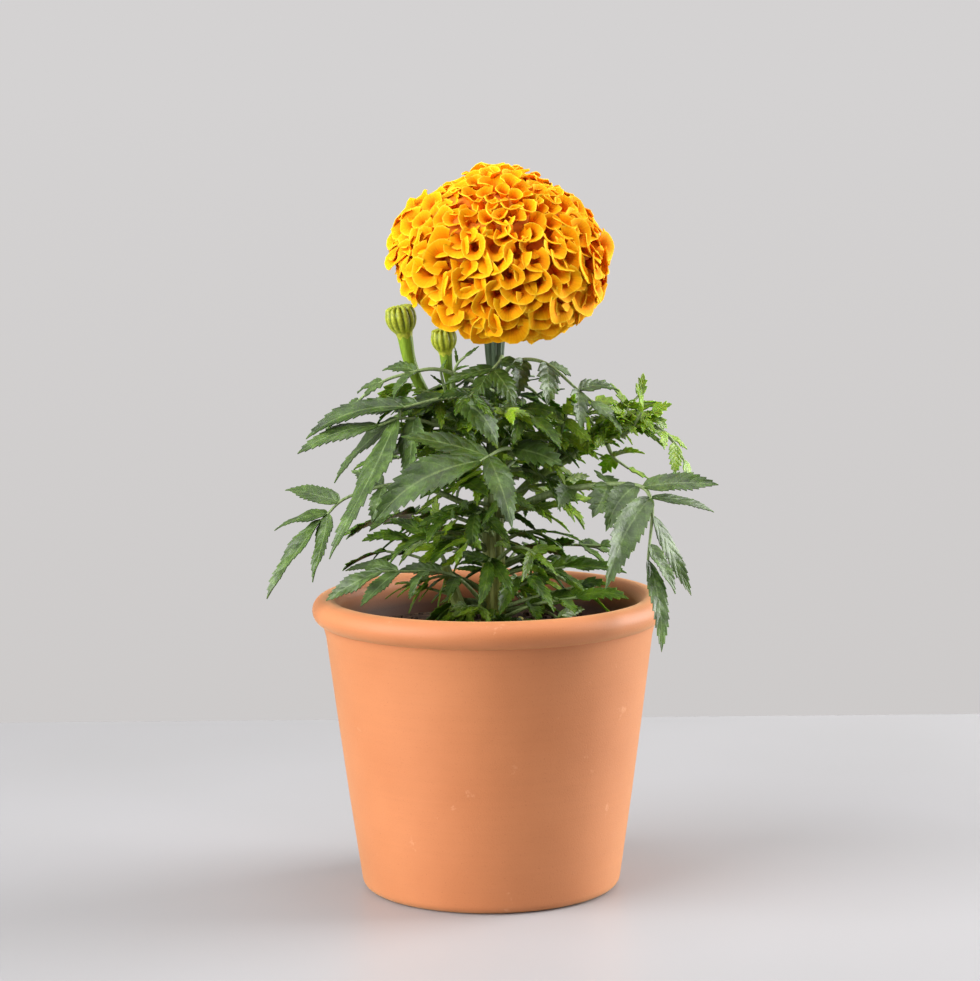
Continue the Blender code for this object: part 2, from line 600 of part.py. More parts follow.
def make_soil():
    bottom = FLOOR + GAP
    side = bottom + SOIL_CORNER
    outline = [(inner_radius(bottom) - SOIL_CORNER, bottom), (inner_radius(side) - GAP, side)]
    outline += [(inner_radius(SOIL_TOP) - GAP - SOIL_EDGE_ROOM, SOIL_TOP)]
    builder = bmesh.new()
    rings = []
    for radius, height in outline:
        rings.append([builder.verts.new((radius * math.cos(math.tau * k / SOIL_SIDES),
                                         radius * math.sin(math.tau * k / SOIL_SIDES), height))
                      for k in range(SOIL_SIDES)])
    for share in SOIL_RINGS:
        ring = []
        for k in range(SOIL_SIDES):
            angle = math.tau * k / SOIL_SIDES
            x = inner_radius(SOIL_TOP) * share * math.cos(angle)
            y = inner_radius(SOIL_TOP) * share * math.sin(angle)
            ring.append(builder.verts.new((x, y, soil_height(x, y))))
        rings.append(ring)
    for low, high in zip(rings, rings[1:]):
        for k in range(SOIL_SIDES):
            builder.faces.new((low[k - 1], low[k], high[k], high[k - 1]))
    builder.faces.new(rings[0])
    centre = builder.verts.new((0, 0, soil_height(0, 0)))
    for k in range(SOIL_SIDES):
        builder.faces.new((rings[-1][k - 1], rings[-1][k], centre))
    peat = paint("compost", PEAT_BROWN, PEAT_ROUGHNESS)
    soil = place(builder, "soil", peat)
    for name, foot, radius in (("hole_main", STEM_PATH[0], STEM_RADII[1] * 1.05),
                               ("hole_left", STEM_LEFT_PATH[0], STEM_LEFT_RADII[1] * 1.06)):
        lean = Vector(STEM_LEFT_PATH[1]) if name == "hole_left" else Vector(STEM_PATH[1])
        run = lean - Vector(foot)
        low = Vector(foot) - Vector((0, 0, GAP))
        high = low + run * ((HOLE_TOP - low.z) / run.z)
        radii = [radius + GAP, radius + GAP + HOLE_FLARE]
        cutter = place(tube([low, high], radii, HOLE_SIDES), name, peat)
        cutter.hide_render = True
        cutter.display_type = "WIRE"
        cut = soil.modifiers.new(name, "BOOLEAN")
        cut.operation = "DIFFERENCE"
        cut.object = cutter
    return soil


def floret(builder, polar, azimuth, axis_turn):
    """One cupped ray floret, rooted in the core and open towards the pole."""
    draw = random.Random(round(polar * 1000) * 7 + round(azimuth * 1000))
    outer = min(polar / FULL_GROWN_ANGLE, 1.0)
    width = FLORET_WIDTH[0] + FLORET_WIDTH[1] * outer + draw.uniform(-0.8, 0.8)
    curl = math.radians(FLORET_CURL[0] + FLORET_CURL[1] * outer) * draw.uniform(0.9, 1.1)
    flare = FLORET_FLARE[0] + FLORET_FLARE[1] * outer
    high = BLOOM_TOP if polar < math.pi / 2 else BLOOM_BELOW
    surface = Vector((BLOOM_RADIUS * math.sin(polar) * math.cos(azimuth),
                      BLOOM_RADIUS * math.sin(polar) * math.sin(azimuth),
                      high * math.cos(polar)))
    normal = Vector((surface.x / BLOOM_RADIUS ** 2, surface.y / BLOOM_RADIUS ** 2,
                     surface.z / high ** 2)).normalized()
    root = surface * (CORE_SHARE - FLORET_ROOT_SINK)
    out = (surface - root).normalized().lerp(normal, 0.4).normalized()
    side = Vector((-math.sin(azimuth), math.cos(azimuth), 0.0))
    pole = side.cross(out)
    if pole.z < 0:
        pole = -pole
    length = (surface - root).length * draw.uniform(0.97, 1.04)
    turn = Quaternion(out, draw.uniform(-0.25, 0.25))
    side = turn @ side
    pole = turn @ pole

    def row(along, wide, bend, spots):
        line = []
        half_width = width / 2 * wide
        radius = half_width / math.sin(min(bend, math.pi / 2))
        for across in spots:
            angle = across * bend
            reach = length * along - (2.2 * across ** 2 - 0.6 * math.sin(across * 5 + azimuth)) * along
            towards = radius * (1 - math.cos(angle)) - flare * along ** 2
            point = root + out * reach + side * radius * math.sin(angle) + pole * towards
            inward = (pole * math.cos(angle) - side * math.sin(angle)).normalized()
            line.append((axis_turn @ point, axis_turn @ inward))
        return line

    grid = [row(0.0, 0.22, 1.0, (-1.0, 1.0)),
            row(0.6, 0.8, curl * 0.95, (-1.0, -0.36, 0.36, 1.0)),
            row(1.0, 1.0, curl * 0.8, (-1.0, -0.36, 0.36, 1.0))]
    half = FLORET_THICKNESS / 2
    sheets = []
    for way in (half, -half):
        sheets.append([[builder.verts.new(p + n * way) for p, n in line] for line in grid])
    for root_pair, middle, rim in sheets:
        builder.faces.new((root_pair[0], middle[0], middle[1]))
        builder.faces.new((root_pair[0], middle[1], middle[2]))
        builder.faces.new((root_pair[0], middle[2], root_pair[1]))
        builder.faces.new((root_pair[1], middle[2], middle[3]))
        for c in range(3):
            builder.faces.new((middle[c], middle[c + 1], rim[c + 1]))
            builder.faces.new((middle[c], rim[c + 1], rim[c]))
    border = [(0, 0), (1, 0), (2, 0), (2, 1), (2, 2), (2, 3), (1, 3), (0, 1)]
    front, back = sheets
    for (r1, c1), (r2, c2) in zip(border, border[1:] + border[:1]):
        builder.faces.new((front[r1][c1], front[r2][c2], back[r2][c2], back[r1][c1]))


def make_bloom():
    axis = bloom_axis()
    turn = Vector((0, 0, 1)).rotation_difference(axis)
    orange = paint("petal_orange", PETAL_ORANGE, PETAL_ROUGHNESS)
    builder = bmesh.new()
    bmesh.ops.create_icosphere(builder, subdivisions=2, radius=1.0)
    for vert in builder.verts:
        high = BLOOM_TOP if vert.co.z > 0 else BLOOM_BELOW * 0.9
        vert.co.x *= BLOOM_RADIUS * CORE_SHARE
        vert.co.y *= BLOOM_RADIUS * CORE_SHARE
        vert.co.z *= high * CORE_SHARE
        vert.co = turn @ vert.co + BLOOM_CENTRE
    core = place(builder, "bloom", orange)
    parts = bpy.data.collections.new("bloom_parts")
    bpy.context.scene.collection.children.link(parts)
    neck = tube([BLOOM_CENTRE - axis * SEAT_ROOT_BELOW, BLOOM_CENTRE - axis * SEAT_BELOW],
                [SEAT_RADIUS * 1.3, SEAT_RADIUS], SEAT_SIDES)
    pieces = [place(neck, "neck", orange)]
    golden = math.pi * (3 - math.sqrt(5))
    for index in range(FLORETS):
        share = (index + 0.5) / FLORETS
        polar = math.acos(1 - DOME_COVER * share ** DOME_CROWDING)
        single = bmesh.new()
        floret(single, polar, (index * golden) % math.tau, turn)
        for vert in single.verts:
            vert.co += BLOOM_CENTRE
        pieces.append(place(single, "floret_%03d" % index, orange))
    for piece in pieces:
        bpy.context.scene.collection.objects.unlink(piece)
        parts.objects.link(piece)
    join = core.modifiers.new("florets", "BOOLEAN")
    join.operation = "UNION"
    join.operand_type = "COLLECTION"
    join.collection = parts
    join.solver = "MANIFOLD"
    bpy.context.view_layer.update()
    evaluated = core.evaluated_get(bpy.context.evaluated_depsgraph_get())
    joined = bpy.data.meshes.new_from_object(evaluated)
    core.modifiers.clear()
    core.data = joined
    for piece in pieces:
        bpy.data.objects.remove(piece)
    bpy.data.collections.remove(parts)
    return core


for leftover in list(bpy.data.objects):
    bpy.data.objects.remove(leftover)

make_pot()
make_soil()
make_main_stem()
make_side_stems()
for bud in BUDS:
    make_bud(*bud, paint("bud_green", BUD_OLIVE, GREEN_ROUGHNESS))
make_leaves()
make_bloom()
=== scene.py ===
import math
import random

import bpy
from mathutils import Matrix, Quaternion, Vector


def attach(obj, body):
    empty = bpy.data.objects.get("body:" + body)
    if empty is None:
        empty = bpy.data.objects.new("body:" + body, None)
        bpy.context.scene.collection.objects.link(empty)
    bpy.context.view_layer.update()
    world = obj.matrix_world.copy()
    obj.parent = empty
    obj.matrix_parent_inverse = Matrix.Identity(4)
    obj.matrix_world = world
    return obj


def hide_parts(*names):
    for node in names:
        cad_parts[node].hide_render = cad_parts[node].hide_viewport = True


# Potted african marigold: one orange double bloom, two ribbed buds and a mound of
# toothed compound leaves in a terracotta pot. Pieces are shaped in millimetres,
# with the middle of the pot's underside at the origin, and scaled to metres last.

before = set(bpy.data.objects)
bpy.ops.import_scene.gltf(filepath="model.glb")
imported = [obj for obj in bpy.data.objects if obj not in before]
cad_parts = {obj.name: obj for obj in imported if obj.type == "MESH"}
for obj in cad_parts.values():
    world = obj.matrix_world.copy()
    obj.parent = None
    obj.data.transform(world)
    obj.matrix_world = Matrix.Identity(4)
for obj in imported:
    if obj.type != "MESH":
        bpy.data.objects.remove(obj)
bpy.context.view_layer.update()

# Camera
# The photograph was taken with a long lens about 1.2 m in front of the pot,
# a hand's width above the bloom's middle and looking a little down.
PHOTO_WIDTH = 980
LENS_IN_PIXELS = 3068
SENSOR_WIDTH = 36
CAMERA_PLACE = (0.0008, -1.2, 0.316)
CAMERA_LOOKS_DOWN = 7.49
CAMERA_ROLL = -0.51

camera_data = bpy.data.cameras.new("photo_camera")
camera_data.sensor_fit = "HORIZONTAL"
camera_data.sensor_width = SENSOR_WIDTH
camera_data.lens = LENS_IN_PIXELS / PHOTO_WIDTH * SENSOR_WIDTH
camera = bpy.data.objects.new("photo_camera", camera_data)
bpy.context.scene.collection.objects.link(camera)
camera.matrix_world = (
    Matrix.Translation(CAMERA_PLACE)
    @ Matrix.Rotation(math.radians(90 - CAMERA_LOOKS_DOWN), 4, "X")
    @ Matrix.Rotation(math.radians(CAMERA_ROLL), 4, "Z")
)
bpy.context.scene.camera = camera
bpy.context.scene.view_settings.view_transform = "Standard"


# Table, backdrop and lights
# A pale satin laminate table that ends 0.32 m behind the pot, in front of a plain
# grey studio wall. A big soft light stands at the left, a weaker one at the right.
TABLE_HALF = 0.325
TABLE_THICK = 0.03
TABLE_EDGE_ROUNDING = 0.004
WALL_TOP_GREY = "D4D2D2"
WALL_LOW_GREY = "CCC9C8"
WALL_LIGHT = 0.17
WALL_MIRROR = 0.7
KEY_LIGHT = ("key_softbox", (-1.3, -0.72, 0.75), 1.6, 57)
FILL_LIGHT = ("fill_softbox", (1.15, 0.3, 0.5), 0.9, 31)
TOP_LIGHT = ("top_softbox", (0.1, -0.1, 1.5), 1.2, 14)
LIGHTS_AIM = Vector((0, 0, 0.15))


def colour(hex_code):
    """A colour written as sRGB hex, as linear red, green, blue and alpha."""
    channels = [int(hex_code[i:i + 2], 16) / 255 for i in (0, 2, 4)]
    linear = [c / 12.92 if c <= 0.04045 else ((c + 0.055) / 1.055) ** 2.4 for c in channels]
    return (*linear, 1.0)


def new_material(name):
    """An empty material with its output, and the tree to add nodes to."""
    material = bpy.data.materials.new(name)
    material.use_nodes = True
    material.node_tree.nodes.clear()
    return material, material.node_tree


def add(tree, kind, inputs=None, **settings):
    """Adds a node: its settings, and for each input a value or another node's socket."""
    node = tree.nodes.new(kind)
    for name, value in settings.items():
        setattr(node, name, value)
    for name, value in (inputs or {}).items():
        if isinstance(value, bpy.types.NodeSocket):
            tree.links.new(value, node.inputs[name])
        else:
            node.inputs[name].default_value = value
    return node


def ramp(tree, factor, stops):
    """A colour ramp with stops of (position, hex colour)."""
    node = add(tree, "ShaderNodeValToRGB", {"Fac": factor})
    while len(node.color_ramp.elements) < len(stops):
        node.color_ramp.elements.new(0.5)
    for element, (position, hex_code) in zip(node.color_ramp.elements, stops):
        element.position = position
        element.color = colour(hex_code)
    return node.outputs["Color"]


def satin_laminate():
    """Laminate board, pressed smooth: pale grey with a soft, blurred mirror image."""
    material, tree = new_material("satin_laminate")
    place = add(tree, "ShaderNodeTexCoord")
    cloud = add(tree, "ShaderNodeTexNoise", {"Vector": place.outputs["Object"], "Scale": 6.0, "Detail": 2.0})
    tone = ramp(tree, cloud.outputs["Fac"], [(0.3, "A2A1A2"), (0.7, "A6A5A7")])
    shader = add(tree, "ShaderNodeBsdfPrincipled", {
        "Base Color": tone, "Roughness": 0.42, "IOR": 1.45, "Specular IOR Level": 0.42})
    add(tree, "ShaderNodeOutputMaterial", {"Surface": shader.outputs["BSDF"]})
    return material


bpy.ops.object.select_all(action="DESELECT")
bpy.ops.mesh.primitive_cube_add(size=1, location=(0, 0, -TABLE_THICK / 2))
table = bpy.context.object
table.name = "studio_table"
table.scale = (TABLE_HALF * 2, TABLE_HALF * 2, TABLE_THICK)
bpy.ops.object.transform_apply(location=True, rotation=True, scale=True)
edge = table.modifiers.new("rounded_edge", "BEVEL")
edge.width = TABLE_EDGE_ROUNDING
edge.segments = 3
bpy.ops.object.modifier_apply(modifier="rounded_edge")
table.data.materials.append(satin_laminate())

world = bpy.data.worlds.new("studio_wall")
world.use_nodes = True
world.node_tree.nodes.clear()
bpy.context.scene.world = world
wall = world.node_tree
direction = add(wall, "ShaderNodeTexCoord")
height = add(wall, "ShaderNodeSeparateXYZ", {"Vector": direction.outputs["Generated"]})
share = add(wall, "ShaderNodeMapRange", {
    "Value": height.outputs["Z"], "From Min": -0.24, "From Max": 0.0})
wall_tone = ramp(wall, share.outputs["Result"], [(0.0, WALL_LOW_GREY), (1.0, WALL_TOP_GREY)])
seen = add(wall, "ShaderNodeBackground", {"Color": wall_tone, "Strength": 1.0})
light = add(wall, "ShaderNodeBackground", {"Color": wall_tone, "Strength": WALL_LIGHT})
ray = add(wall, "ShaderNodeLightPath")
mirrored = add(wall, "ShaderNodeMath", {0: ray.outputs["Is Glossy Ray"], 1: WALL_MIRROR}, operation="MULTIPLY")
in_view = add(wall, "ShaderNodeMath", {0: ray.outputs["Is Camera Ray"], 1: mirrored.outputs[0]}, operation="MAXIMUM")
both = add(wall, "ShaderNodeMixShader", {0: in_view.outputs[0], 1: light.outputs[0], 2: seen.outputs[0]})
add(wall, "ShaderNodeOutputWorld", {"Surface": both.outputs[0]})

for name, place, size, watts in (KEY_LIGHT, FILL_LIGHT, TOP_LIGHT):
    lamp_data = bpy.data.lights.new(name, "AREA")
    lamp_data.shape = "SQUARE"
    lamp_data.size = size
    lamp_data.energy = watts
    lamp = bpy.data.objects.new(name, lamp_data)
    bpy.context.scene.collection.objects.link(lamp)
    lamp.location = place
    lamp.rotation_euler = (Vector(place) - LIGHTS_AIM).to_track_quat("Z", "Y").to_euler()


# Pot
# A machine-turned terracotta pot: straight tapered wall, thick rolled rim and a
# rounded foot with one drain hole. The clay is fired once and left unglazed.
MM = 0.001
POT_HEIGHT = 117.0
POT_BASE_RADIUS = 51.6
POT_RIM_RADIUS = 70.0
RIM_ROLL_RADIUS = 5.4
UNDER_RIM_RADIUS = 65.3
WALL_THICK = 6.0
FLOOR_THICK = 8.0
FOOT_ROUNDING = 4.0
DRAIN_RADIUS = 10.0
INNER_CORNER = 5.0
POT_SIDES = 112
# Depth under the rim over which the inner wall darkens: damp stain and painted shade.
DAMP_AND_SHADE_DEPTH = 6.0


def inner_radius(level):
    """Radius of the pot's inner wall, which runs parallel to the outer taper."""
    slope = (UNDER_RIM_RADIUS - POT_BASE_RADIUS) / (POT_HEIGHT - 2 * RIM_ROLL_RADIUS)
    return POT_BASE_RADIUS - WALL_THICK + slope * level


def arc(centre, radius, start, end, steps):
    """Points (radius, height) on a circle, from start to end degrees."""
    points = []
    for step in range(steps + 1):
        angle = math.radians(start + (end - start) * step / steps)
        points.append((centre[0] + radius * math.cos(angle), centre[1] + radius * math.sin(angle)))
    return points


def extrude_ring(radius, level, old_radius, old_level):
    """Extrudes the selected ring and moves it to its radius and height."""
    bpy.ops.mesh.extrude_region_move(TRANSFORM_OT_translate={"value": (0, 0, level - old_level)})
    share = radius / old_radius
    bpy.ops.transform.resize(value=(share, share, 1), center_override=(0, 0, level))


def start_piece(name):
    """Names the new primitive and its mesh."""
    piece = bpy.context.object
    piece.name = name
    piece.data.name = name
    return piece


def apply_all(piece):
    """Applies a piece's modifiers in their order."""
    bpy.ops.object.select_all(action="DESELECT")
    bpy.context.view_layer.objects.active = piece
    piece.select_set(True)
    for modifier in list(piece.modifiers):
        bpy.ops.object.modifier_apply(modifier=modifier.name)


def tidy_mesh(piece, merge=0.001):
    """Merges doubles and turns every face outwards."""
    bpy.ops.object.select_all(action="DESELECT")
    bpy.context.view_layer.objects.active = piece
    piece.select_set(True)
    bpy.ops.object.mode_set(mode="EDIT")
    bpy.ops.mesh.select_all(action="SELECT")
    bpy.ops.mesh.remove_doubles(threshold=merge)
    bpy.ops.mesh.normals_make_consistent(inside=False)
    bpy.ops.object.mode_set(mode="OBJECT")


def finish_piece(piece, replaced, materials, sharp=50):
    """Scales a piece to metres, shades it, and ties it to the frame."""
    bpy.ops.object.select_all(action="DESELECT")
    bpy.context.view_layer.objects.active = piece
    piece.select_set(True)
    piece.data.transform(Matrix.Scale(MM, 4))
    bpy.ops.object.shade_smooth_by_angle(angle=math.radians(sharp))
    if materials:
        piece.data.materials.clear()
        for material in materials:
            piece.data.materials.append(material)
    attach(piece, "root")
    if replaced:
        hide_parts(*replaced)
    return piece


def fired_terracotta():
    """Terracotta, turned and fired without glaze: matt, fine grains, faint turning lines."""
    material, tree = new_material("fired_terracotta")
    place = add(tree, "ShaderNodeTexCoord").outputs["Object"]
    blush = add(tree, "ShaderNodeTexNoise", {"Vector": place, "Scale": 22.0, "Detail": 3.0})
    base = ramp(tree, blush.outputs["Fac"], [(0.3, "BF7446"), (0.7, "C87D4E")])
    flat = add(tree, "ShaderNodeMapping", {"Vector": place, "Scale": (6.0, 6.0, 700.0)})
    lines = add(tree, "ShaderNodeTexNoise", {"Vector": flat.outputs["Vector"], "Scale": 1.0, "Detail": 2.0})
    line_tone = ramp(tree, lines.outputs["Fac"], [(0.35, "C9C9C9"), (0.65, "FFFFFF")])
    turned = add(tree, "ShaderNodeMixRGB", {"Fac": 0.04, "Color1": base, "Color2": line_tone}, blend_type="MULTIPLY")
    grit = add(tree, "ShaderNodeTexNoise", {"Vector": place, "Scale": 1900.0, "Detail": 2.0})
    specks = ramp(tree, grit.outputs["Fac"], [(0.28, "A86A48"), (0.36, "FFFFFF")])
    speckled = add(tree, "ShaderNodeMixRGB", {"Fac": 0.2, "Color1": turned.outputs["Color"], "Color2": specks},
                   blend_type="MULTIPLY")
    knocks = add(tree, "ShaderNodeTexNoise", {"Vector": place, "Scale": 75.0, "Detail": 7.0, "Roughness": 0.7})
    scuffs = add(tree, "ShaderNodeMapRange", {"Value": knocks.outputs["Fac"], "From Min": 0.65, "From Max": 0.71,
                                              "To Min": 0.0, "To Max": 0.3})
    scuffed = add(tree, "ShaderNodeMixRGB", {"Fac": scuffs.outputs["Result"], "Color1": speckled.outputs["Color"],
                                             "Color2": colour("EBB48C")})
    # Inside the pot the wall is painted darker below the rim: partly a damp stain from the compost, partly painted
    # shade in the pot's hollow.
    damp_and_shade = add(tree, "ShaderNodeAttribute", attribute_name="damp_and_shade")
    blotted = add(tree, "ShaderNodeMath", {0: blush.outputs["Fac"], 1: 0.5, 2: -0.25}, operation="MULTIPLY_ADD")
    damp_and_shade_share = add(tree, "ShaderNodeMath", {0: damp_and_shade.outputs["Fac"], 1: blotted.outputs[0]}, operation="ADD", use_clamp=True)
    stained_and_shaded = add(tree, "ShaderNodeMixRGB", {"Fac": damp_and_shade_share.outputs[0], "Color1": scuffed.outputs["Color"],
                                             "Color2": colour("4C2612")})
    dents = add(tree, "ShaderNodeTexNoise", {"Vector": place, "Scale": 60.0, "Detail": 4.0})
    rough = add(tree, "ShaderNodeBump", {"Height": grit.outputs["Fac"], "Strength": 0.25, "Distance": 0.0003})
    ringed = add(tree, "ShaderNodeBump", {
        "Height": lines.outputs["Fac"], "Strength": 0.1, "Distance": 0.0004, "Normal": rough.outputs["Normal"]})
    dented = add(tree, "ShaderNodeBump", {
        "Height": dents.outputs["Fac"], "Strength": 0.2, "Distance": 0.001, "Normal": ringed.outputs["Normal"]})
    shader = add(tree, "ShaderNodeBsdfPrincipled", {
        "Base Color": stained_and_shaded.outputs["Color"], "Roughness": 0.55, "IOR": 1.45,
        "Specular IOR Level": 0.5, "Sheen Weight": 0.25, "Sheen Roughness": 0.5, "Sheen Tint": colour("FFEBB0"), "Normal": dented.outputs["Normal"]})
    add(tree, "ShaderNodeOutputMaterial", {"Surface": shader.outputs["BSDF"]})
    return material


roll = (POT_RIM_RADIUS - RIM_ROLL_RADIUS, POT_HEIGHT - RIM_ROLL_RADIUS)
foot = (POT_BASE_RADIUS - FOOT_ROUNDING, FOOT_ROUNDING)
pot_outline = [(DRAIN_RADIUS, 0.0), (DRAIN_RADIUS + 12, 0.0), (POT_BASE_RADIUS - FOOT_ROUNDING - 8, 0.0)]
pot_outline += arc(foot, FOOT_ROUNDING, -90, -8, 5)
pot_outline += [(56.2, 36.0), (60.7, 70.0), (64.7, 101.5)]
pot_outline += arc(roll, RIM_ROLL_RADIUS, -75, 180, 18)
pot_outline += [(inner_radius(level), level) for level in (108.0, 104.0, 100.0, 60.0)]
pot_outline += arc((inner_radius(FLOOR_THICK + INNER_CORNER) - INNER_CORNER, FLOOR_THICK + INNER_CORNER),
                   INNER_CORNER, 0, -90, 4)
pot_outline += [(DRAIN_RADIUS, FLOOR_THICK)]

bpy.ops.object.select_all(action="DESELECT")
bpy.ops.mesh.primitive_circle_add(vertices=POT_SIDES, radius=pot_outline[0][0], fill_type="NOTHING")
pot = start_piece("turned_pot")
bpy.ops.object.mode_set(mode="EDIT")
bpy.ops.mesh.select_all(action="SELECT")
for (old_radius, old_level), (radius, level) in zip(pot_outline, pot_outline[1:]):
    extrude_ring(radius, level, old_radius, old_level)
extrude_ring(*pot_outline[0], *pot_outline[-1])
bpy.ops.object.mode_set(mode="OBJECT")
tidy_mesh(pot)
# How far down inside the pot each point lies, for the inner wall's darkening: a damp stain and painted shade.
damp_and_shade_mark = pot.data.attributes.new("damp_and_shade", "FLOAT", "POINT")
for vert in pot.data.vertices:
    depth = (POT_HEIGHT - RIM_ROLL_RADIUS - vert.co.z) / DAMP_AND_SHADE_DEPTH
    inside = vert.co.xy.length < inner_radius(vert.co.z) + 1.0 and vert.co.z > FLOOR_THICK - 0.1
    damp_and_shade_mark.data[vert.index].value = min(max(depth, 0.0), 1.0) if inside else -1.0
finish_piece(pot, ["pot"], [fired_terracotta()], 40)


# Compost
# Peat compost, pressed in by hand to a low mound under the rim, with crumbs and
# bits of bark lying on it. It fills the pot down to its floor.
GAP = 0.3
SOIL_TOP = 101.0
SOIL_MOUND = 2.5
SOIL_SIDES = 96
SOIL_RINGS = 22
CRUMBS = 300
LITTER_REACH = 20.0
STEM_FOOT = (1.5, 0, 78)
STEM_FOOT_RADIUS = 4.9
LEFT_FOOT = (-9, -3, 78)
LEFT_FOOT_RADIUS = 2.7


def peat_compost():
    """Damp peat: nearly black brown, broken up at crumb size, with no gloss."""
    material, tree = new_material("peat_compost")
    place = add(tree, "ShaderNodeTexCoord").outputs["Object"]
    crumb = add(tree, "ShaderNodeTexNoise", {"Vector": place, "Scale": 420.0, "Detail": 5.0})
    tone = ramp(tree, crumb.outputs["Fac"], [(0.3, "1E1610"), (0.5, "3A2A1F"), (0.72, "5E4632")])
    rough = add(tree, "ShaderNodeBump", {"Height": crumb.outputs["Fac"], "Strength": 0.7, "Distance": 0.0008})
    shader = add(tree, "ShaderNodeBsdfPrincipled", {
        "Base Color": tone, "Roughness": 0.95, "Specular IOR Level": 0.2, "Normal": rough.outputs["Normal"]})
    add(tree, "ShaderNodeOutputMaterial", {"Surface": shader.outputs["BSDF"]})
    return material


def soil_height(x, y):
    """Low mound with the shallow hollows that fingers leave."""
    out = math.hypot(x, y) / inner_radius(SOIL_TOP)
    bump = math.sin(x * 0.31 + 1.0) * math.cos(y * 0.27) + 0.6 * math.sin(x * 0.6 - y * 0.5)
    return SOIL_TOP + SOIL_MOUND * (1 - out ** 2) + 0.5 * bump


def fallen_bits():
    """Shed bits of leaf and stalk, dried to a yellow green: matt and pale on the peat."""
    material, tree = new_material("fallen_bits")
    place = add(tree, "ShaderNodeTexCoord").outputs["Object"]
    patch = add(tree, "ShaderNodeTexNoise", {"Vector": place, "Scale": 260.0, "Detail": 2.0})
    tone = ramp(tree, patch.outputs["Fac"], [(0.35, "6E5A22"), (0.5, "8C8434"), (0.68, "A8A052")])
    shader = add(tree, "ShaderNodeBsdfPrincipled", {"Base Color": tone, "Roughness": 0.85})
    add(tree, "ShaderNodeOutputMaterial", {"Surface": shader.outputs["BSDF"]})
    return material


peat = peat_compost()
litter = fallen_bits()
low = FLOOR_THICK + GAP
soil_outline = [(inner_radius(low) - 7.0, low), (inner_radius(low + 7) - GAP - 0.3, low + 7),
                (inner_radius(SOIL_TOP) - GAP - 0.4, SOIL_TOP)]
bpy.ops.object.select_all(action="DESELECT")
bpy.ops.mesh.primitive_circle_add(vertices=SOIL_SIDES, radius=soil_outline[0][0], fill_type="NGON",
                                  location=(0, 0, low))
soil = start_piece("pressed_compost")
bpy.ops.object.transform_apply(location=True, rotation=False, scale=False)
bpy.ops.object.mode_set(mode="EDIT")
bpy.ops.mesh.select_all(action="SELECT")
for (old_radius, old_level), (radius, level) in zip(soil_outline, soil_outline[1:]):
    extrude_ring(radius, level, old_radius, old_level)
ring_step = soil_outline[-1][0] / SOIL_RINGS
for ring in range(SOIL_RINGS - 1):
    bpy.ops.mesh.inset(thickness=ring_step, depth=0)
bpy.ops.mesh.poke()
bpy.ops.object.mode_set(mode="OBJECT")
draw = random.Random("compost")
for vert in soil.data.vertices:
    if vert.co.z > SOIL_TOP - 0.1 and vert.co.xy.length < soil_outline[-1][0] - 0.5:
        vert.co.z = soil_height(vert.co.x, vert.co.y) + draw.uniform(-0.35, 0.35)
tidy_mesh(soil)
for centre, radius in ((STEM_FOOT, STEM_FOOT_RADIUS + GAP), (LEFT_FOOT, LEFT_FOOT_RADIUS + GAP)):
    lean = Vector((0.2, 0, 22)) if centre == STEM_FOOT else Vector((-1.2, -0.6, 27))
    middle = Vector(centre) + lean * 0.5
    bpy.ops.mesh.primitive_cylinder_add(vertices=24, radius=radius, depth=lean.length * 1.6, location=middle,
                                        rotation=lean.to_track_quat("Z", "Y").to_euler())
    hole = bpy.context.object
    cut = soil.modifiers.new("stem_hole", "BOOLEAN")
    cut.operation = "DIFFERENCE"
    cut.object = hole
    apply_all(soil)
    bpy.data.objects.remove(hole)

bpy.ops.mesh.primitive_ico_sphere_add(subdivisions=1, radius=1.0)
crumb_pattern = start_piece("crumb")
crumbs = []
for index in range(CRUMBS):
    crumb = crumb_pattern.copy()
    crumb.data = crumb_pattern.data.copy()
    bpy.context.scene.collection.objects.link(crumb)
    reach = (inner_radius(SOIL_TOP) - 4.0) * math.sqrt(draw.random())
    around = draw.uniform(0, math.tau)
    x, y = reach * math.cos(around), reach * math.sin(around)
    size = draw.choice((0.7, 0.9, 1.1, 1.6))
    squash = Vector((draw.uniform(0.7, 1.5), draw.uniform(0.7, 1.2), draw.uniform(0.5, 0.9))) * size
    spin = Quaternion((draw.random(), draw.random(), draw.random()), draw.uniform(0, 3))
    for vert in crumb.data.vertices:
        shaken = vert.co * draw.uniform(0.8, 1.15)
        vert.co = spin @ Vector((shaken.x * squash.x, shaken.y * squash.y, shaken.z * squash.z))
        vert.co += Vector((x, y, soil_height(x, y) + size * 0.3))
    near_stem = math.hypot(x - STEM_FOOT[0], y - STEM_FOOT[1]) < LITTER_REACH
    crumb.data.materials.append(litter if near_stem else peat)
    crumbs.append(crumb)
bpy.data.objects.remove(crumb_pattern)


def join(first, others):
    """Joins pieces into the first one."""
    bpy.ops.object.select_all(action="DESELECT")
    for piece in others:
        piece.select_set(True)
    first.select_set(True)
    bpy.context.view_layer.objects.active = first
    bpy.ops.object.join()
    return first


soil.data.materials.append(peat)
soil = join(soil, crumbs)
finish_piece(soil, ["soil"], None, 60)


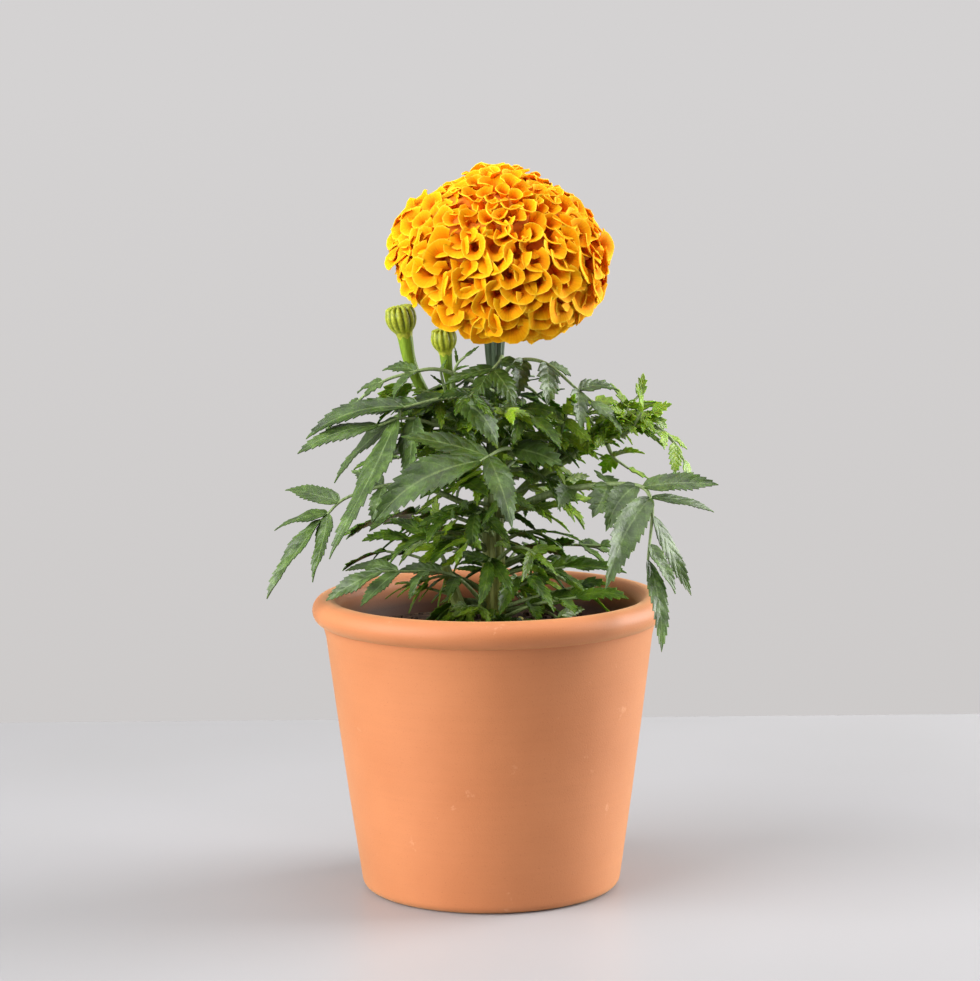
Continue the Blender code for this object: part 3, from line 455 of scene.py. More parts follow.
# Main stem
# The plant's one thick stem: ridged and pale at the foot, thinner and dark below
# the bloom, partly its own green and partly painted shade under the bloom, and swollen
# into the bloom's green cup where it carries the florets.
STEM_PATH = [STEM_FOOT, (1.7, 0, 100), (2, 0, 125), (2, 0, 150), (2.8, 0.6, 178),
             (3.1, 1.6, 196), (3.1, 2.3, 212), (3.0, 2.4, 221)]
STEM_RADII = [4.4, 4.7, 4.3, 3.7, 2.9, 2.3, 3.4, 4.2]
STEM_RIDGES = 9
CUP_NECK = 5.0
CUP_NECK_RADIUS = 6.2
SEAT_BELOW = 19.0
SEAT_RADIUS = 8.0
BLOOM_CENTRE = Vector((5.5, -13.0, 251.0))
BLOOM_TILT = math.radians(37.0)
BLOOM_TURN = math.radians(14.0)
bloom_axis = Vector((math.sin(BLOOM_TURN) * math.sin(BLOOM_TILT),
                     -math.cos(BLOOM_TURN) * math.sin(BLOOM_TILT), math.cos(BLOOM_TILT)))


def smooth_path(points, steps):
    """Catmull-Rom curve through the points, with even steps on each span."""
    knots = [Vector(p) for p in points]
    knots = [knots[0] * 2 - knots[1]] + knots + [knots[-1] * 2 - knots[-2]]
    path = []
    for i in range(1, len(knots) - 2):
        before, start, end, after = knots[i - 1:i + 3]
        for step in range(steps):
            t = step / steps
            path.append(0.5 * (2 * start + (end - before) * t
                               + (2 * before - 5 * start + 4 * end - after) * t ** 2
                               + (3 * start - before - 3 * end + after) * t ** 3))
    path.append(knots[-2])
    return path


def smooth_values(values, steps):
    """The same curve for a list of radii."""
    return [p.x for p in smooth_path([(v, 0, 0) for v in values], steps)]


def grow_stalk(name, points, radii, ridges=0, depth=0.0, sides=24):
    """A stalk as a curve with a ridged section, thick as given at each point."""
    section_curve = bpy.data.curves.new("section", "CURVE")
    section_curve.dimensions = "2D"
    ring = section_curve.splines.new("POLY")
    ring.points.add(sides - 1)
    for k, point in enumerate(ring.points):
        angle = math.tau * k / sides
        reach = 1.0 + depth * math.cos(ridges * angle)
        point.co = (reach * math.cos(angle), reach * math.sin(angle), 0, 1)
    ring.use_cyclic_u = True
    section = bpy.data.objects.new("section", section_curve)
    bpy.context.scene.collection.objects.link(section)
    curve = bpy.data.curves.new(name, "CURVE")
    curve.dimensions = "3D"
    line = curve.splines.new("POLY")
    line.points.add(len(points) - 1)
    for point, place, radius in zip(line.points, points, radii):
        point.co = (*place, 1)
        point.radius = radius
    curve.bevel_mode = "OBJECT"
    curve.bevel_object = section
    curve.use_fill_caps = True
    stalk = bpy.data.objects.new(name, curve)
    bpy.context.scene.collection.objects.link(stalk)
    bpy.ops.object.select_all(action="DESELECT")
    bpy.context.view_layer.objects.active = stalk
    stalk.select_set(True)
    bpy.ops.object.convert(target="MESH")
    bpy.data.objects.remove(section)
    stalk = bpy.context.object
    tidy_mesh(stalk)
    return stalk


def green_stalk(name, foot_tone, middle_tone, top_tone, low, high):
    """Living stem skin: fine lengthwise fibres under a thin waxy film, its tone ramped with height from foot to top.
    """
    material, tree = new_material(name)
    place = add(tree, "ShaderNodeTexCoord").outputs["Object"]
    level = add(tree, "ShaderNodeSeparateXYZ", {"Vector": place})
    share = add(tree, "ShaderNodeMapRange", {
        "Value": level.outputs["Z"], "From Min": low * MM, "From Max": high * MM})
    tone = ramp(tree, share.outputs["Result"], [(0.0, foot_tone), (0.5, middle_tone), (1.0, top_tone)])
    fibre_place = add(tree, "ShaderNodeMapping", {"Vector": place, "Scale": (1.0, 1.0, 0.08)})
    fibre = add(tree, "ShaderNodeTexNoise", {"Vector": fibre_place.outputs["Vector"], "Scale": 1300.0, "Detail": 3.0})
    streak = ramp(tree, fibre.outputs["Fac"], [(0.35, "9AA08A"), (0.65, "FFFFFF")])
    streaked = add(tree, "ShaderNodeMixRGB", {"Fac": 0.55, "Color1": tone, "Color2": streak}, blend_type="MULTIPLY")
    ribbed = add(tree, "ShaderNodeBump", {"Height": fibre.outputs["Fac"], "Strength": 0.4, "Distance": 0.0004})
    shader = add(tree, "ShaderNodeBsdfPrincipled", {
        "Base Color": streaked.outputs["Color"], "Roughness": 0.48, "IOR": 1.4, "Specular IOR Level": 0.4,
        "Normal": ribbed.outputs["Normal"]})
    add(tree, "ShaderNodeOutputMaterial", {"Surface": shader.outputs["BSDF"]})
    return material


seat = BLOOM_CENTRE - bloom_axis * (SEAT_BELOW + GAP)
stem_points = smooth_path(STEM_PATH + [seat - bloom_axis * CUP_NECK, seat], 5)
stem_radii = smooth_values(STEM_RADII + [CUP_NECK_RADIUS, SEAT_RADIUS], 5)
stem = grow_stalk("ridged_main_stem", stem_points, stem_radii, STEM_RIDGES, 0.11, 54)
# The top tone is dark grey green: the stem's own green, darkened as painted shade under the bloom.
stem_skin = green_stalk("main_stem_skin", "B4B862", "74884E", "44584A", 100, 225)
finish_piece(stem, ["main_stem"], [stem_skin], 60)


# Side stems
# A thin stem that leaves the compost at the left, and the young side shoot at the
# right, which ends in a tiny green bud. Both are round and grew with the plant.
STEM_LEFT_PATH = [LEFT_FOOT, (-10.2, -3.6, 105), (-13.5, -5, 118), (-17, -6.5, 129)]
STEM_LEFT_RADII = [2.4, 2.5, 2.2, 1.7]
SHOOT_KNOTS = [(20, 3, 163.5), (42, 3.5, 175.5), (57, 1.5, 183)]
SHOOT_FOOT = (153, 10)
SHOOT_RADII = (2.3, 1.1)


def on_stem(level, azimuth, clear=GAP + 0.1):
    """A point beside the main stem at a height, and the way it faces."""
    for start, end, r_start, r_end in zip(STEM_PATH, STEM_PATH[1:], STEM_RADII, STEM_RADII[1:]):
        if start[2] <= level <= end[2]:
            part = (level - start[2]) / (end[2] - start[2])
            centre = Vector(start).lerp(Vector(end), part)
            radius = r_start + (r_end - r_start) * part
    out = Vector((math.cos(math.radians(azimuth)), math.sin(math.radians(azimuth)), 0.0))
    return centre + out * (radius + clear), out


young_skin = green_stalk("young_stem_skin", "A6B46A", "8FA653", "86A046", 100, 200)
left = grow_stalk("ridged_left_stem", smooth_path(STEM_LEFT_PATH, 5), smooth_values(STEM_LEFT_RADII, 5), 6, 0.12, 36)
finish_piece(left, ["stem_left"], [young_skin], 60)

start, out = on_stem(*SHOOT_FOOT)
shoot_path = smooth_path([start, start + out * 5 + Vector((0, 0, 2.5))] + SHOOT_KNOTS, 6)
thin, thick = SHOOT_RADII[1], SHOOT_RADII[0]
shoot_radii = [thick + (thin - thick) * i / (len(shoot_path) - 1) for i in range(len(shoot_path))]
shoot_tip = shoot_path[-1]
bud_line = [Vector((1.2, -0.3, 0.7)), Vector((2.6, -0.6, 1.6)), Vector((3.6, -0.8, 2.2)), Vector((4.2, -0.9, 2.6))]
shoot_path += [shoot_tip + step for step in bud_line]
shoot_radii += [1.6, 2.2, 1.7, 0.5]
shoot = grow_stalk("young_side_shoot", shoot_path, shoot_radii, 6, 0.06)
finish_piece(shoot, ["branch_right"], [young_skin], 60)


# Buds
# Two closed flower buds on their own stalks. The green cup of each is grown from
# one ring of ribbed bracts, whose tips close over the florets inside.
BUDS = [
    ("bud_1", (158, 165), [(-18, 2, 185), (-29, 1, 206), (-32.3, 0, 221)], 6.2, 9.7, 13),
    ("bud_2", (172, 185), [(-11, -1, 190), (-15, -3, 204), (-16.2, -4, 214)], 5.2, 7.8, 12),
]
HEAD_OUTLINE = [(-0.25, 0.46), (0.0, 0.56), (0.14, 0.74), (0.32, 0.9), (0.56, 1.0), (0.8, 0.97),
                (0.94, 0.82), (1.0, 0.48), (0.97, 0.05)]


def ribbed_bracts():
    """Bud bracts: olive green ribs with dark, slightly red seams between them."""
    material, tree = new_material("ribbed_bracts")
    lobe = add(tree, "ShaderNodeAttribute", attribute_name="rib")
    place = add(tree, "ShaderNodeTexCoord").outputs["Object"]
    tone = ramp(tree, lobe.outputs["Fac"], [(0.0, "4A3A10"), (0.3, "6E7818"), (0.75, "A2AE26"), (1.0, "B8BE3C")])
    blotch = add(tree, "ShaderNodeTexNoise", {"Vector": place, "Scale": 900.0, "Detail": 3.0})
    shade = ramp(tree, blotch.outputs["Fac"], [(0.35, "8F9478"), (0.65, "FFFFFF")])
    mixed = add(tree, "ShaderNodeMixRGB", {"Fac": 0.5, "Color1": tone, "Color2": shade}, blend_type="MULTIPLY")
    bump = add(tree, "ShaderNodeBump", {"Height": blotch.outputs["Fac"], "Strength": 0.3, "Distance": 0.0003})
    shader = add(tree, "ShaderNodeBsdfPrincipled", {
        "Base Color": mixed.outputs["Color"], "Roughness": 0.45, "IOR": 1.4, "Specular IOR Level": 0.45,
        "Normal": bump.outputs["Normal"]})
    add(tree, "ShaderNodeOutputMaterial", {"Surface": shader.outputs["BSDF"]})
    return material


bract_skin = ribbed_bracts()
bud_stalk_paths = []
bud_stalk_skin = green_stalk("bud_stalk_skin", "66822A", "769626", "8CA82C", 170, 225)
for node, foot_at, knots, head_radius, head_height, ribs in BUDS:
    start, out = on_stem(*foot_at)
    stalk_path = smooth_path([start, start + out * 4 + Vector((0, 0, 2.5))] + knots, 6)
    bud_stalk_paths.append(stalk_path)
    neck = stalk_path[-1]
    up = (stalk_path[-1] - stalk_path[-2]).normalized()
    shares = [i / (len(stalk_path) - 1) for i in range(len(stalk_path))]
    radii = [1.2 + (0.5 * head_radius - 1.2) * s ** 1.8 for s in shares]
    stalk = grow_stalk(node + "_stalk", stalk_path, radii, 6, 0.04, 24)
    head_points = smooth_path([neck + up * head_height * along for along, _ in HEAD_OUTLINE[:-1]], 3)
    head_radii = smooth_values([head_radius * wide for _, wide in HEAD_OUTLINE[:-1]], 3)
    head = grow_stalk(node + "_head", head_points, head_radii, 0, 0.0, ribs * 6)
    side = up.orthogonal().normalized()
    other = up.cross(side)
    rib_mark = head.data.attributes.new("rib", "FLOAT", "POINT")
    for vert in head.data.vertices:
        away = vert.co - neck
        level = away.dot(up)
        flat = away - up * level
        angle = math.atan2(flat.dot(other), flat.dot(side))
        crest = abs(math.cos(ribs * angle / 2)) ** 0.7
        grown = min(max((level / head_height + 0.05) / 0.3, 0.0), 1.0)
        vert.co = neck + up * (level + 1.1 * crest * (level > 0.88 * head_height) * (flat.length > 0.3 * head_radius)) + flat * (1.0 - 0.13 * grown * (1 - crest))
        rib_mark.data[vert.index].value = 1.0 - grown * (1.0 - crest)
    mark = stalk.data.attributes.new("rib", "FLOAT", "POINT")
    for value in mark.data:
        value.value = 1.0
    stalk.data.materials.append(bud_stalk_skin)
    head.data.materials.append(bract_skin)
    tidy_mesh(head)
    bud = join(stalk, [head])
    bud.name = "closed_" + node
    finish_piece(bud, [node], None, 70)


# Leaves
# Compound leaves: a stalk and rib with pairs of narrow leaflets and one at the
# end. Each leaflet is cut into forward teeth, folded at its midrib and quilted
# between the side veins. Foot on the stem, rib points and leaflets are as in the frame.
LEAVES = [
    ("leaf_upper_left", (178, 235), [(-29, -19, 189), (-42, -24, 187)], [
        (1.0, (-73, -30, 177), 8), (0.84, (-60, -10, 163), 9), (0.84, (-60, -56, 140), 10),
        (0.7, (-30, -42, 167), 9)]),
    ("leaf_over_left", (186, 215), [(-8, -12, 195), (-17, -20, 197), (-32, -24, 194)], [
        (1.0, (-70, -24, 182), 8), (0.5, (4, -34, 180), 9.5), (0.88, (-50, -9, 190), 6),
        (0.62, (-36, -5, 190), 6)]),
    ("leaf_top_left", (199, 215), [(-18, -9, 207), (-30, -11, 206), (-42, -12, 202), (-55, -12, 191)], [
        (1.0, (-63, -12, 183), 5), (0.5, (-36, -22, 197), 6), (0.72, (-47, -21, 198), 5),
        (0.5, (-41, 0, 206), 5), (0.72, (-51, 1, 197), 5), (0.9, (-58, -2, 188), 5)]),
    ("leaf_lower_left", (150, 190), [(-30, -8, 162), (-54, -12, 158), (-65, -14, 149)], [
        (1.0, (-86.5, -20, 119), 9), (0.95, (-84, -7, 144), 7), (0.86, (-80, 0, 159), 8),
        (0.95, (-68, -30, 127), 7), (0.6, (-54, 4, 166), 6), (0.6, (-45, -21, 149), 6)]),
    ("leaf_centre", (168, 312), [(11, -12, 175), (6, -28, 178), (-3, -42, 175)], [
        (1.0, (-43, -58, 154), 12.5), (0.88, (-33, -36, 184), 8.5), (0.88, (9, -62, 152), 8.5),
        (0.45, (29, -26, 171), 10)]),
    ("leaf_neck", (211, 320), [(5, -9, 210), (0, -14, 205)], [
        (1.0, (-5, -22, 196), 6), (0.8, (11, -23, 194), 7), (0.45, (14, -14, 207), 5),
        (0.75, (-17, -13, 201), 5)]),
    ("leaf_upper_right", (203, 330), [(12, -6, 210), (23, -7, 209), (35, -9, 199), (41, -10, 194)], [
        (1.0, (52, -18, 182), 10), (0.3, (12, -17, 197), 7), (0.5, (23, -21, 194), 8),
        (0.85, (36, -23, 185), 7), (0.85, (52, 1, 197), 6), (0.55, (33, 7, 203), 6)]),
    ("leaf_right", (149, 330), [(28, -10, 159), (55, -22, 163), (63, -28, 157), (61, -40, 136)], [
        (1.0, (65, -60, 104), 6), (0.66, (89, -26, 163), 8), (0.72, (88, -16, 151), 4),
        (0.8, (78, -33, 121), 6), (0.93, (71, -47, 124), 6), (0.72, (44, -58, 128), 9.5),
        (0.63, (45, -38, 147), 8), (0.5, (40, -35, 152), 9), (0.5, (44, -3, 164), 8),
        (0.33, (27, -26, 154), 7)]),
    ("leaf_back_lit", (146, 35), [(20, 12, 154), (31, 16, 152)], [
        (1.0, (44, 22, 150), 8), (0.82, (38, 2, 142), 7), (0.5, (25, 0, 145), 6), (0.6, (27, 31, 154), 7)]),
    ("leaf_right_low", (129, 30), [(25, 13, 134), (45, 18, 133)], [
        (1.0, (58, 21, 130), 8), (0.5, (34, 0, 138), 6), (0.8, (47, 4, 126), 6),
        (0.8, (51, 32, 127), 7), (0.45, (26, 29, 129), 7)]),
    ("leaf_front_right", (120, 340), [(19, -6, 126), (30, -10, 129)], [
        (1.0, (54, -14, 127), 6.5), (0.78, (37, -25, 122), 5), (0.7, (41, 2, 130), 5),
        (0.45, (22, -19, 124), 6)]),
    ("leaf_foot_front", (116, 300), [(10, -14, 125), (16, -21, 127)], [
        (1.0, (25, -38, 116), 5.5), (0.7, (4, -34, 114), 5.5)]),
    ("leaf_foot_right", (108, 330), [(18, -15, 115), (34, -23, 119)], [
        (1.0, (54, -31, 119.5), 6.5), (0.78, (33, -42, 116), 6), (0.45, (19, -34, 111), 5.5),
        (0.6, (39, -9, 117), 6)]),
    ("leaf_front_low", (127, 275), [(1, -14, 133), (0, -21, 133)], [
        (1.0, (-4, -37, 118), 4.5), (0.7, (-14, -27, 138), 4.5), (0.75, (9, -33, 122), 5)]),
    ("leaf_front_mid", (141, 262), [(-2, -14, 151), (-5, -22, 152)], [
        (1.0, (-6, -32, 139), 5), (0.75, (8, -27, 141), 5), (0.7, (-18, -24, 150), 5)]),
    ("leaf_young_left", (), [(-17.2, -8.2, 131), (-20, -10, 139), (-20, -9, 147)], [
        (1.0, (-20, -8, 157), 4), (0.6, (-30, -3, 149), 4), (0.6, (-12, -16, 149), 4)]),
    ("leaf_low_left", (135, 222), [(-16, -16, 142), (-31, -20, 142)], [
        (1.0, (-49, -24, 142), 5.5), (0.78, (-39, -4, 148), 4.5), (0.78, (-38, -38, 135), 5),
        (0.45, (-22, -34, 134), 7)]),
    ("leaf_rim_left", (113, 228), [(-15, -20, 128), (-41, -30, 131)], [
        (1.0, (-63, -29, 119.5), 6.5), (0.88, (-56, -15, 129), 5), (0.88, (-49, -46, 120), 6),
        (0.68, (-30, -47, 123), 6), (0.42, (-16, -37, 122), 5), (0.55, (-35, -8, 128), 5)]),
    ("leaf_shoot_front", (), [(53, -0.2, 179.2), (57, -6, 184), (60, -12, 190)], [
        (1.0, (58, -16, 201), 4), (0.55, (70, -4, 186), 4), (0.55, (47, -8, 192), 5)]),
    ("leaf_shoot_back", (), [(53.0, 3.9, 182.9), (56, 8, 190), (60, 11, 194)], [
        (1.0, (62, 13, 203), 4), (0.55, (68, 4, 192), 4), (0.55, (49, 14, 199), 5)]),
    ("leaf_shoot_arch", (), [(62.6, -0.6, 184.6), (68, -2, 182), (74, -2, 176), (77, -2, 170)], [
        (1.0, (80, -2, 160), 5), (0.3, (69, -10, 175), 4), (0.65, (73, -10, 165), 5),
        (0.45, (79, 7, 173), 4)]),
    ("leaf_shoot_mid", (), [(32, 0.6, 169), (36, -5, 176), (39, -9, 182)], [
        (1.0, (38, -14, 192), 5), (0.55, (49, -9, 178), 6), (0.55, (25, -12, 180), 6)]),
    ("leaf_shoot_fan", (), [(38, 4.5, 175.3), (38, 10, 185), (43, 13, 191)], [
        (1.0, (53, 18, 190), 6), (0.55, (47, 6, 187), 5), (0.55, (28, 15, 189), 7)]),
    ("leaf_shoot_low", (), [(47, 4.1, 176.3), (50, 9, 170), (56, 12, 165)], [
        (1.0, (67, 12, 158), 6), (0.5, (62, 2, 172), 6), (0.5, (46, 19, 162), 6)]),
    ("leaf_middle", (190, 300), [(10, -12, 193), (18, -20, 189)], [
        (1.0, (28, -32, 178), 6.5), (0.7, (30, -14, 187), 5.5), (0.7, (10, -31, 180), 5.5)]),
    ("leaf_middle_low", (158, 250), [(-7, -14, 164), (-14, -22, 165)], [
        (1.0, (-26, -36, 160), 8), (0.6, (-23, -8, 166), 7), (0.7, (0, -34, 160), 7)]),
]
SHADED_LEAVES = ("leaf_right_low", "leaf_front_right", "leaf_foot_front", "leaf_foot_right", "leaf_front_low",
                 "leaf_front_mid", "leaf_low_left", "leaf_middle", "leaf_middle_low")
FRONT_LEAVES = ("leaf_centre", "leaf_over_left", "leaf_neck")
STALK_RADII = {"leaf_right": 1.9, "leaf_centre": 1.3, "leaf_upper_left": 1.2, "leaf_lower_left": 1.4}
# Back leaves by one rule: foot height, azimuth, reach, rise at the middle, fall at
# the end, leaflet pairs, leaflet length and width.
BACK_LEAVES = [
    ("leaf_back_1", 122, 70, 36, 9, 0, 2, 18, 7),
    ("leaf_back_2", 134, 108, 44, 8, 6, 3, 20, 8),
    ("leaf_back_3", 143, 150, 50, 9, 10, 3, 22, 8),
    ("leaf_back_4", 158, 62, 42, 8, 8, 3, 20, 8),
    ("leaf_back_5", 165, 100, 42, 8, 12, 3, 22, 8),
    ("leaf_back_6", 173, 142, 46, 9, 14, 3, 22, 8),
    ("leaf_back_7", 183, 60, 38, 8, 10, 3, 18, 7),
    ("leaf_back_8", 194, 105, 34, 8, 14, 2, 20, 7),
    ("leaf_back_9", 118, 172, 38, 12, -4, 2, 18, 7),
]
BLADE_THICKNESS = 0.4
LONG_TEETH = 11
SHORT_TEETH = 6
TINY_TEETH = 3
WIDEST = 0.38
SMALL_LEAFLET = 22.0
TINY_LEAFLET = 13.5
SIDE_VEINS = 6
BLADE_FULLNESS = 1.32
RIB_RADII = (0.95, 0.5)


def cut_leaflet(name, teeth, columns, notch):
    """A flat leaflet 1 long and 1 wide along +Y: lance shaped, widest before its
    middle, with its edge cut into small sharp teeth that point forwards."""
    rows = 2 * teeth + 2
    bpy.ops.object.select_all(action="DESELECT")
    bpy.ops.mesh.primitive_grid_add(x_subdivisions=columns, y_subdivisions=rows, size=1, location=(0, 0.5, 0))
    leaflet = start_piece(name)
    bpy.ops.object.transform_apply(location=True, rotation=True, scale=True)
    for vert in leaflet.data.vertices:
        row = round(vert.co.y * rows)
        along = row / rows
        on_edge = abs(vert.co.x) > 0.4
        wide = ((along / WIDEST) ** WIDEST * ((1 - along) / (1 - WIDEST)) ** (1 - WIDEST)) ** 1.75
        wide = max(wide, 0.1 if row < 2 else 0.012)
        if on_edge and 2 < row < rows - 1:
            if row % 2 == 1:
                vert.co.y += 1.05 / rows
            else:
                wide *= notch
        vert.co.x *= wide
    solid = leaflet.modifiers.new("thickness", "SOLIDIFY")
    solid.thickness = BLADE_THICKNESS
    solid.offset = 0.0
    apply_all(leaflet)
    tidy_mesh(leaflet, 0.0001)
    return leaflet


def lay_leaflet(pattern, teeth, base, tip, width, face, arch, draw):
    """A copy of the cut leaflet, laid from base to tip, folded and quilted."""
    blade = pattern.copy()
    blade.data = pattern.data.copy()
    bpy.context.scene.collection.objects.link(blade)
    span = tip - base
    length = span.length
    lift = Vector((0, 0, 1)) - span.normalized() * span.normalized().z
    if span.z > 0.2 * length:
        arch = arch * 0.2
    control = (base + tip) / 2 + lift * arch * length
    fold = draw.uniform(0.15, 0.55)
    twist = draw.uniform(-0.7, 0.7)
    wave = draw.uniform(0.03, 0.075) * width
    phase = draw.uniform(0, math.tau)
    sway = draw.uniform(-0.06, 0.06) * length
    for vert in blade.data.vertices:
        across, along, depth = vert.co
        t = min(max(along, 0.0), 1.0)
        point = base * (1 - t) ** 2 + control * 2 * t * (1 - t) + tip * t ** 2
        tangent = ((control - base) * (1 - t) + (tip - control) * t).normalized()
        up = (face - tangent * face.dot(tangent)).normalized()
        side = tangent.cross(up)
        turn = Quaternion(tangent, twist * (t - 0.15))
        up, side = turn @ up, turn @ side
        out = abs(across) * width
        ridge = math.sin(math.pi * (along * teeth - abs(across) * 2.4)) ** 2
        quilt = 0.022 * width * ridge * min(out / 2.0, 1.0)
        edge_wave = wave * math.sin(along * 13 + phase + (2.5 if across > 0 else 0)) * min(2.5 * abs(across), 1.0)
        rise = fold * out - 0.5 * out * out / width + quilt + edge_wave
        vert.co = point + side * (across * width + sway * math.sin(math.pi * t)) + up * (depth + rise)
    return blade


def leaf_blade_green(name, dark, middle, pale, vein, gloss, let_through, wax):
    """Leaf skin: waxy green over pale veins. It is painted darker in the hollows of its crinkles,
    as painted shade, with the midrib and side veins paler, and a soft sheen from its wax."""
    material, tree = new_material(name)
    coords = add(tree, "ShaderNodeTexCoord")
    place = coords.outputs["Object"]
    split = add(tree, "ShaderNodeSeparateXYZ", {"Vector": coords.outputs["UV"]})
    off_middle = add(tree, "ShaderNodeMath", {0: split.outputs["X"], 1: 0.5}, operation="SUBTRACT")
    out = add(tree, "ShaderNodeMath", {0: off_middle.outputs[0]}, operation="ABSOLUTE")
    cloud = add(tree, "ShaderNodeTexNoise", {"Vector": place, "Scale": 140.0, "Detail": 5.0, "Roughness": 0.65})
    tone = ramp(tree, cloud.outputs["Fac"], [(0.3, dark), (0.5, middle), (0.7, pale)])
    forward = add(tree, "ShaderNodeMath", {0: out.outputs[0], 1: -2.4}, operation="MULTIPLY")
    shaken = add(tree, "ShaderNodeMath", {0: cloud.outputs["Fac"], 1: 0.9, 2: forward.outputs[0]},
                 operation="MULTIPLY_ADD")
    beat = add(tree, "ShaderNodeMath", {0: split.outputs["Y"], 1: SIDE_VEINS, 2: shaken.outputs[0]},
               operation="MULTIPLY_ADD")
    turn = add(tree, "ShaderNodeMath", {0: beat.outputs[0], 1: math.pi}, operation="MULTIPLY")
    wave = add(tree, "ShaderNodeMath", {0: turn.outputs[0]}, operation="SINE")
    gap = add(tree, "ShaderNodeMath", {0: wave.outputs[0]}, operation="ABSOLUTE")
    side_vein = add(tree, "ShaderNodeMapRange", {"Value": gap.outputs[0], "From Min": 0.0, "From Max": 0.2,
                                                 "To Min": 1.0, "To Max": 0.0})
    midrib = add(tree, "ShaderNodeMapRange", {"Value": out.outputs[0], "From Min": 0.01, "From Max": 0.045,
                                              "To Min": 1.0, "To Max": 0.0})
    faint = add(tree, "ShaderNodeMath", {0: side_vein.outputs["Result"], 1: 0.16}, operation="MULTIPLY")
    strong = add(tree, "ShaderNodeMath", {0: midrib.outputs["Result"], 1: 0.42}, operation="MULTIPLY")
    veins = add(tree, "ShaderNodeMath", {0: faint.outputs[0], 1: strong.outputs[0]}, operation="MAXIMUM")
    veined = add(tree, "ShaderNodeMixRGB", {"Fac": veins.outputs[0], "Color1": tone, "Color2": colour(vein)})
    fine = add(tree, "ShaderNodeTexVoronoi", {"Vector": place, "Scale": 900.0}, feature="DISTANCE_TO_EDGE")
    net = ramp(tree, fine.outputs["Distance"], [(0.0, "8C9486"), (0.14, "FFFFFF")])
    netted = add(tree, "ShaderNodeMixRGB", {"Fac": 0.35, "Color1": veined.outputs["Color"], "Color2": net},
                 blend_type="MULTIPLY")
    cell_bump = add(tree, "ShaderNodeBump", {"Height": fine.outputs["Distance"], "Strength": 0.2,
                                             "Distance": 0.0003})
    sunk = add(tree, "ShaderNodeBump", {"Height": gap.outputs[0], "Strength": 0.3, "Distance": 0.0005,
                                        "Normal": cell_bump.outputs["Normal"]})
    # The crinkle noise bumps the blade, and its low spots are painted darker: painted shade in the hollows.
    crinkle = add(tree, "ShaderNodeTexNoise", {"Vector": place, "Scale": 250.0, "Detail": 4.0, "Roughness": 0.55})
    hollows = ramp(tree, crinkle.outputs["Fac"], [(0.34, "8A9480"), (0.56, "FFFFFF")])
    hollow_shaded = add(tree, "ShaderNodeMixRGB", {"Fac": 0.5, "Color1": netted.outputs["Color"], "Color2": hollows},
                   blend_type="MULTIPLY")
    crinkled = add(tree, "ShaderNodeBump", {"Height": crinkle.outputs["Fac"], "Strength": 0.3, "Distance": 0.0016,
                                            "Normal": sunk.outputs["Normal"]})
    shader = add(tree, "ShaderNodeBsdfPrincipled", {
        "Base Color": hollow_shaded.outputs["Color"], "Roughness": gloss, "IOR": 1.45, "Specular IOR Level": wax,
        "Subsurface Weight": let_through, "Subsurface Radius": (0.6, 1.0, 0.05), "Subsurface Scale": 0.0012,
        "Normal": crinkled.outputs["Normal"]})
    add(tree, "ShaderNodeOutputMaterial", {"Surface": shader.outputs["BSDF"]})
    return material


def measure(path):
    """Lengths along a path of points."""
    lengths = [0.0]
    for a, b in zip(path, path[1:]):
        lengths.append(lengths[-1] + (b - a).length)
    return lengths


def point_at(path, lengths, share):
    """The point and the direction at a share of a path's length."""
    want = share * lengths[-1]
    for i in range(len(path) - 1):
        if lengths[i + 1] >= want:
            part = (want - lengths[i]) / max(lengths[i + 1] - lengths[i], 1e-9)
            return path[i].lerp(path[i + 1], part), (path[i + 1] - path[i]).normalized()
    return path[-1], (path[-1] - path[-2]).normalized()


def grow_leaf(name, node, foot_at, points, blades, face, skins):
    """One compound leaf: rib, and a leaflet at each share of it, joined as one piece."""
    draw = random.Random(name)
    points = [Vector(p) for p in points]
    if foot_at:
        points = [on_stem(*foot_at)[0]] + points
    if face is None:
        end = points[-1]
        face = Vector((end.x, end.y, 0.0)).normalized() * 0.45 + Vector((0, -0.25, 0.8))
    face = face.normalized()
    path = smooth_path(points, 6)
    lengths = measure(path)
    thick = STALK_RADII.get(node, RIB_RADII[0])
    radii = [RIB_RADII[1] + (thick - RIB_RADII[1]) * (1 - s / lengths[-1]) ** 1.3 for s in lengths]
    rib = grow_stalk(name, path, radii, 0, 0.0, 8)
    rib.data.materials.append(skins[0])
    laid = []
    for share, tip, width in blades:
        base, tangent = point_at(path, lengths, share)
        tip = Vector(tip)
        length = (tip - base).length
        pattern, teeth = long_leaflet, LONG_TEETH
        if length < SMALL_LEAFLET:
            pattern, teeth = short_leaflet, SHORT_TEETH
        if length < TINY_LEAFLET:
            pattern, teeth = tiny_leaflet, TINY_TEETH
        blade = lay_leaflet(pattern, teeth, base, tip, width * BLADE_FULLNESS, face, 0.14, draw)
        blade.data.materials.append(skins[1])
        laid.append(blade)
    leaf = join(rib, laid)
    return finish_piece(leaf, [node] if node else [], None, 55)


long_leaflet = cut_leaflet("long_leaflet", LONG_TEETH, 4, 0.83)
short_leaflet = cut_leaflet("short_leaflet", SHORT_TEETH, 4, 0.72)
tiny_leaflet = cut_leaflet("tiny_leaflet", TINY_TEETH, 2, 0.55)
old_blade = leaf_blade_green("mature_leaf_blade", "2C420E", "466020", "66823A", "94AA72", 0.46, 0.15, 0.65)
front_blade = leaf_blade_green("front_leaf_blade", "243A0A", "3A5414", "547228", "8EA462", 0.42, 0.15, 0.6)
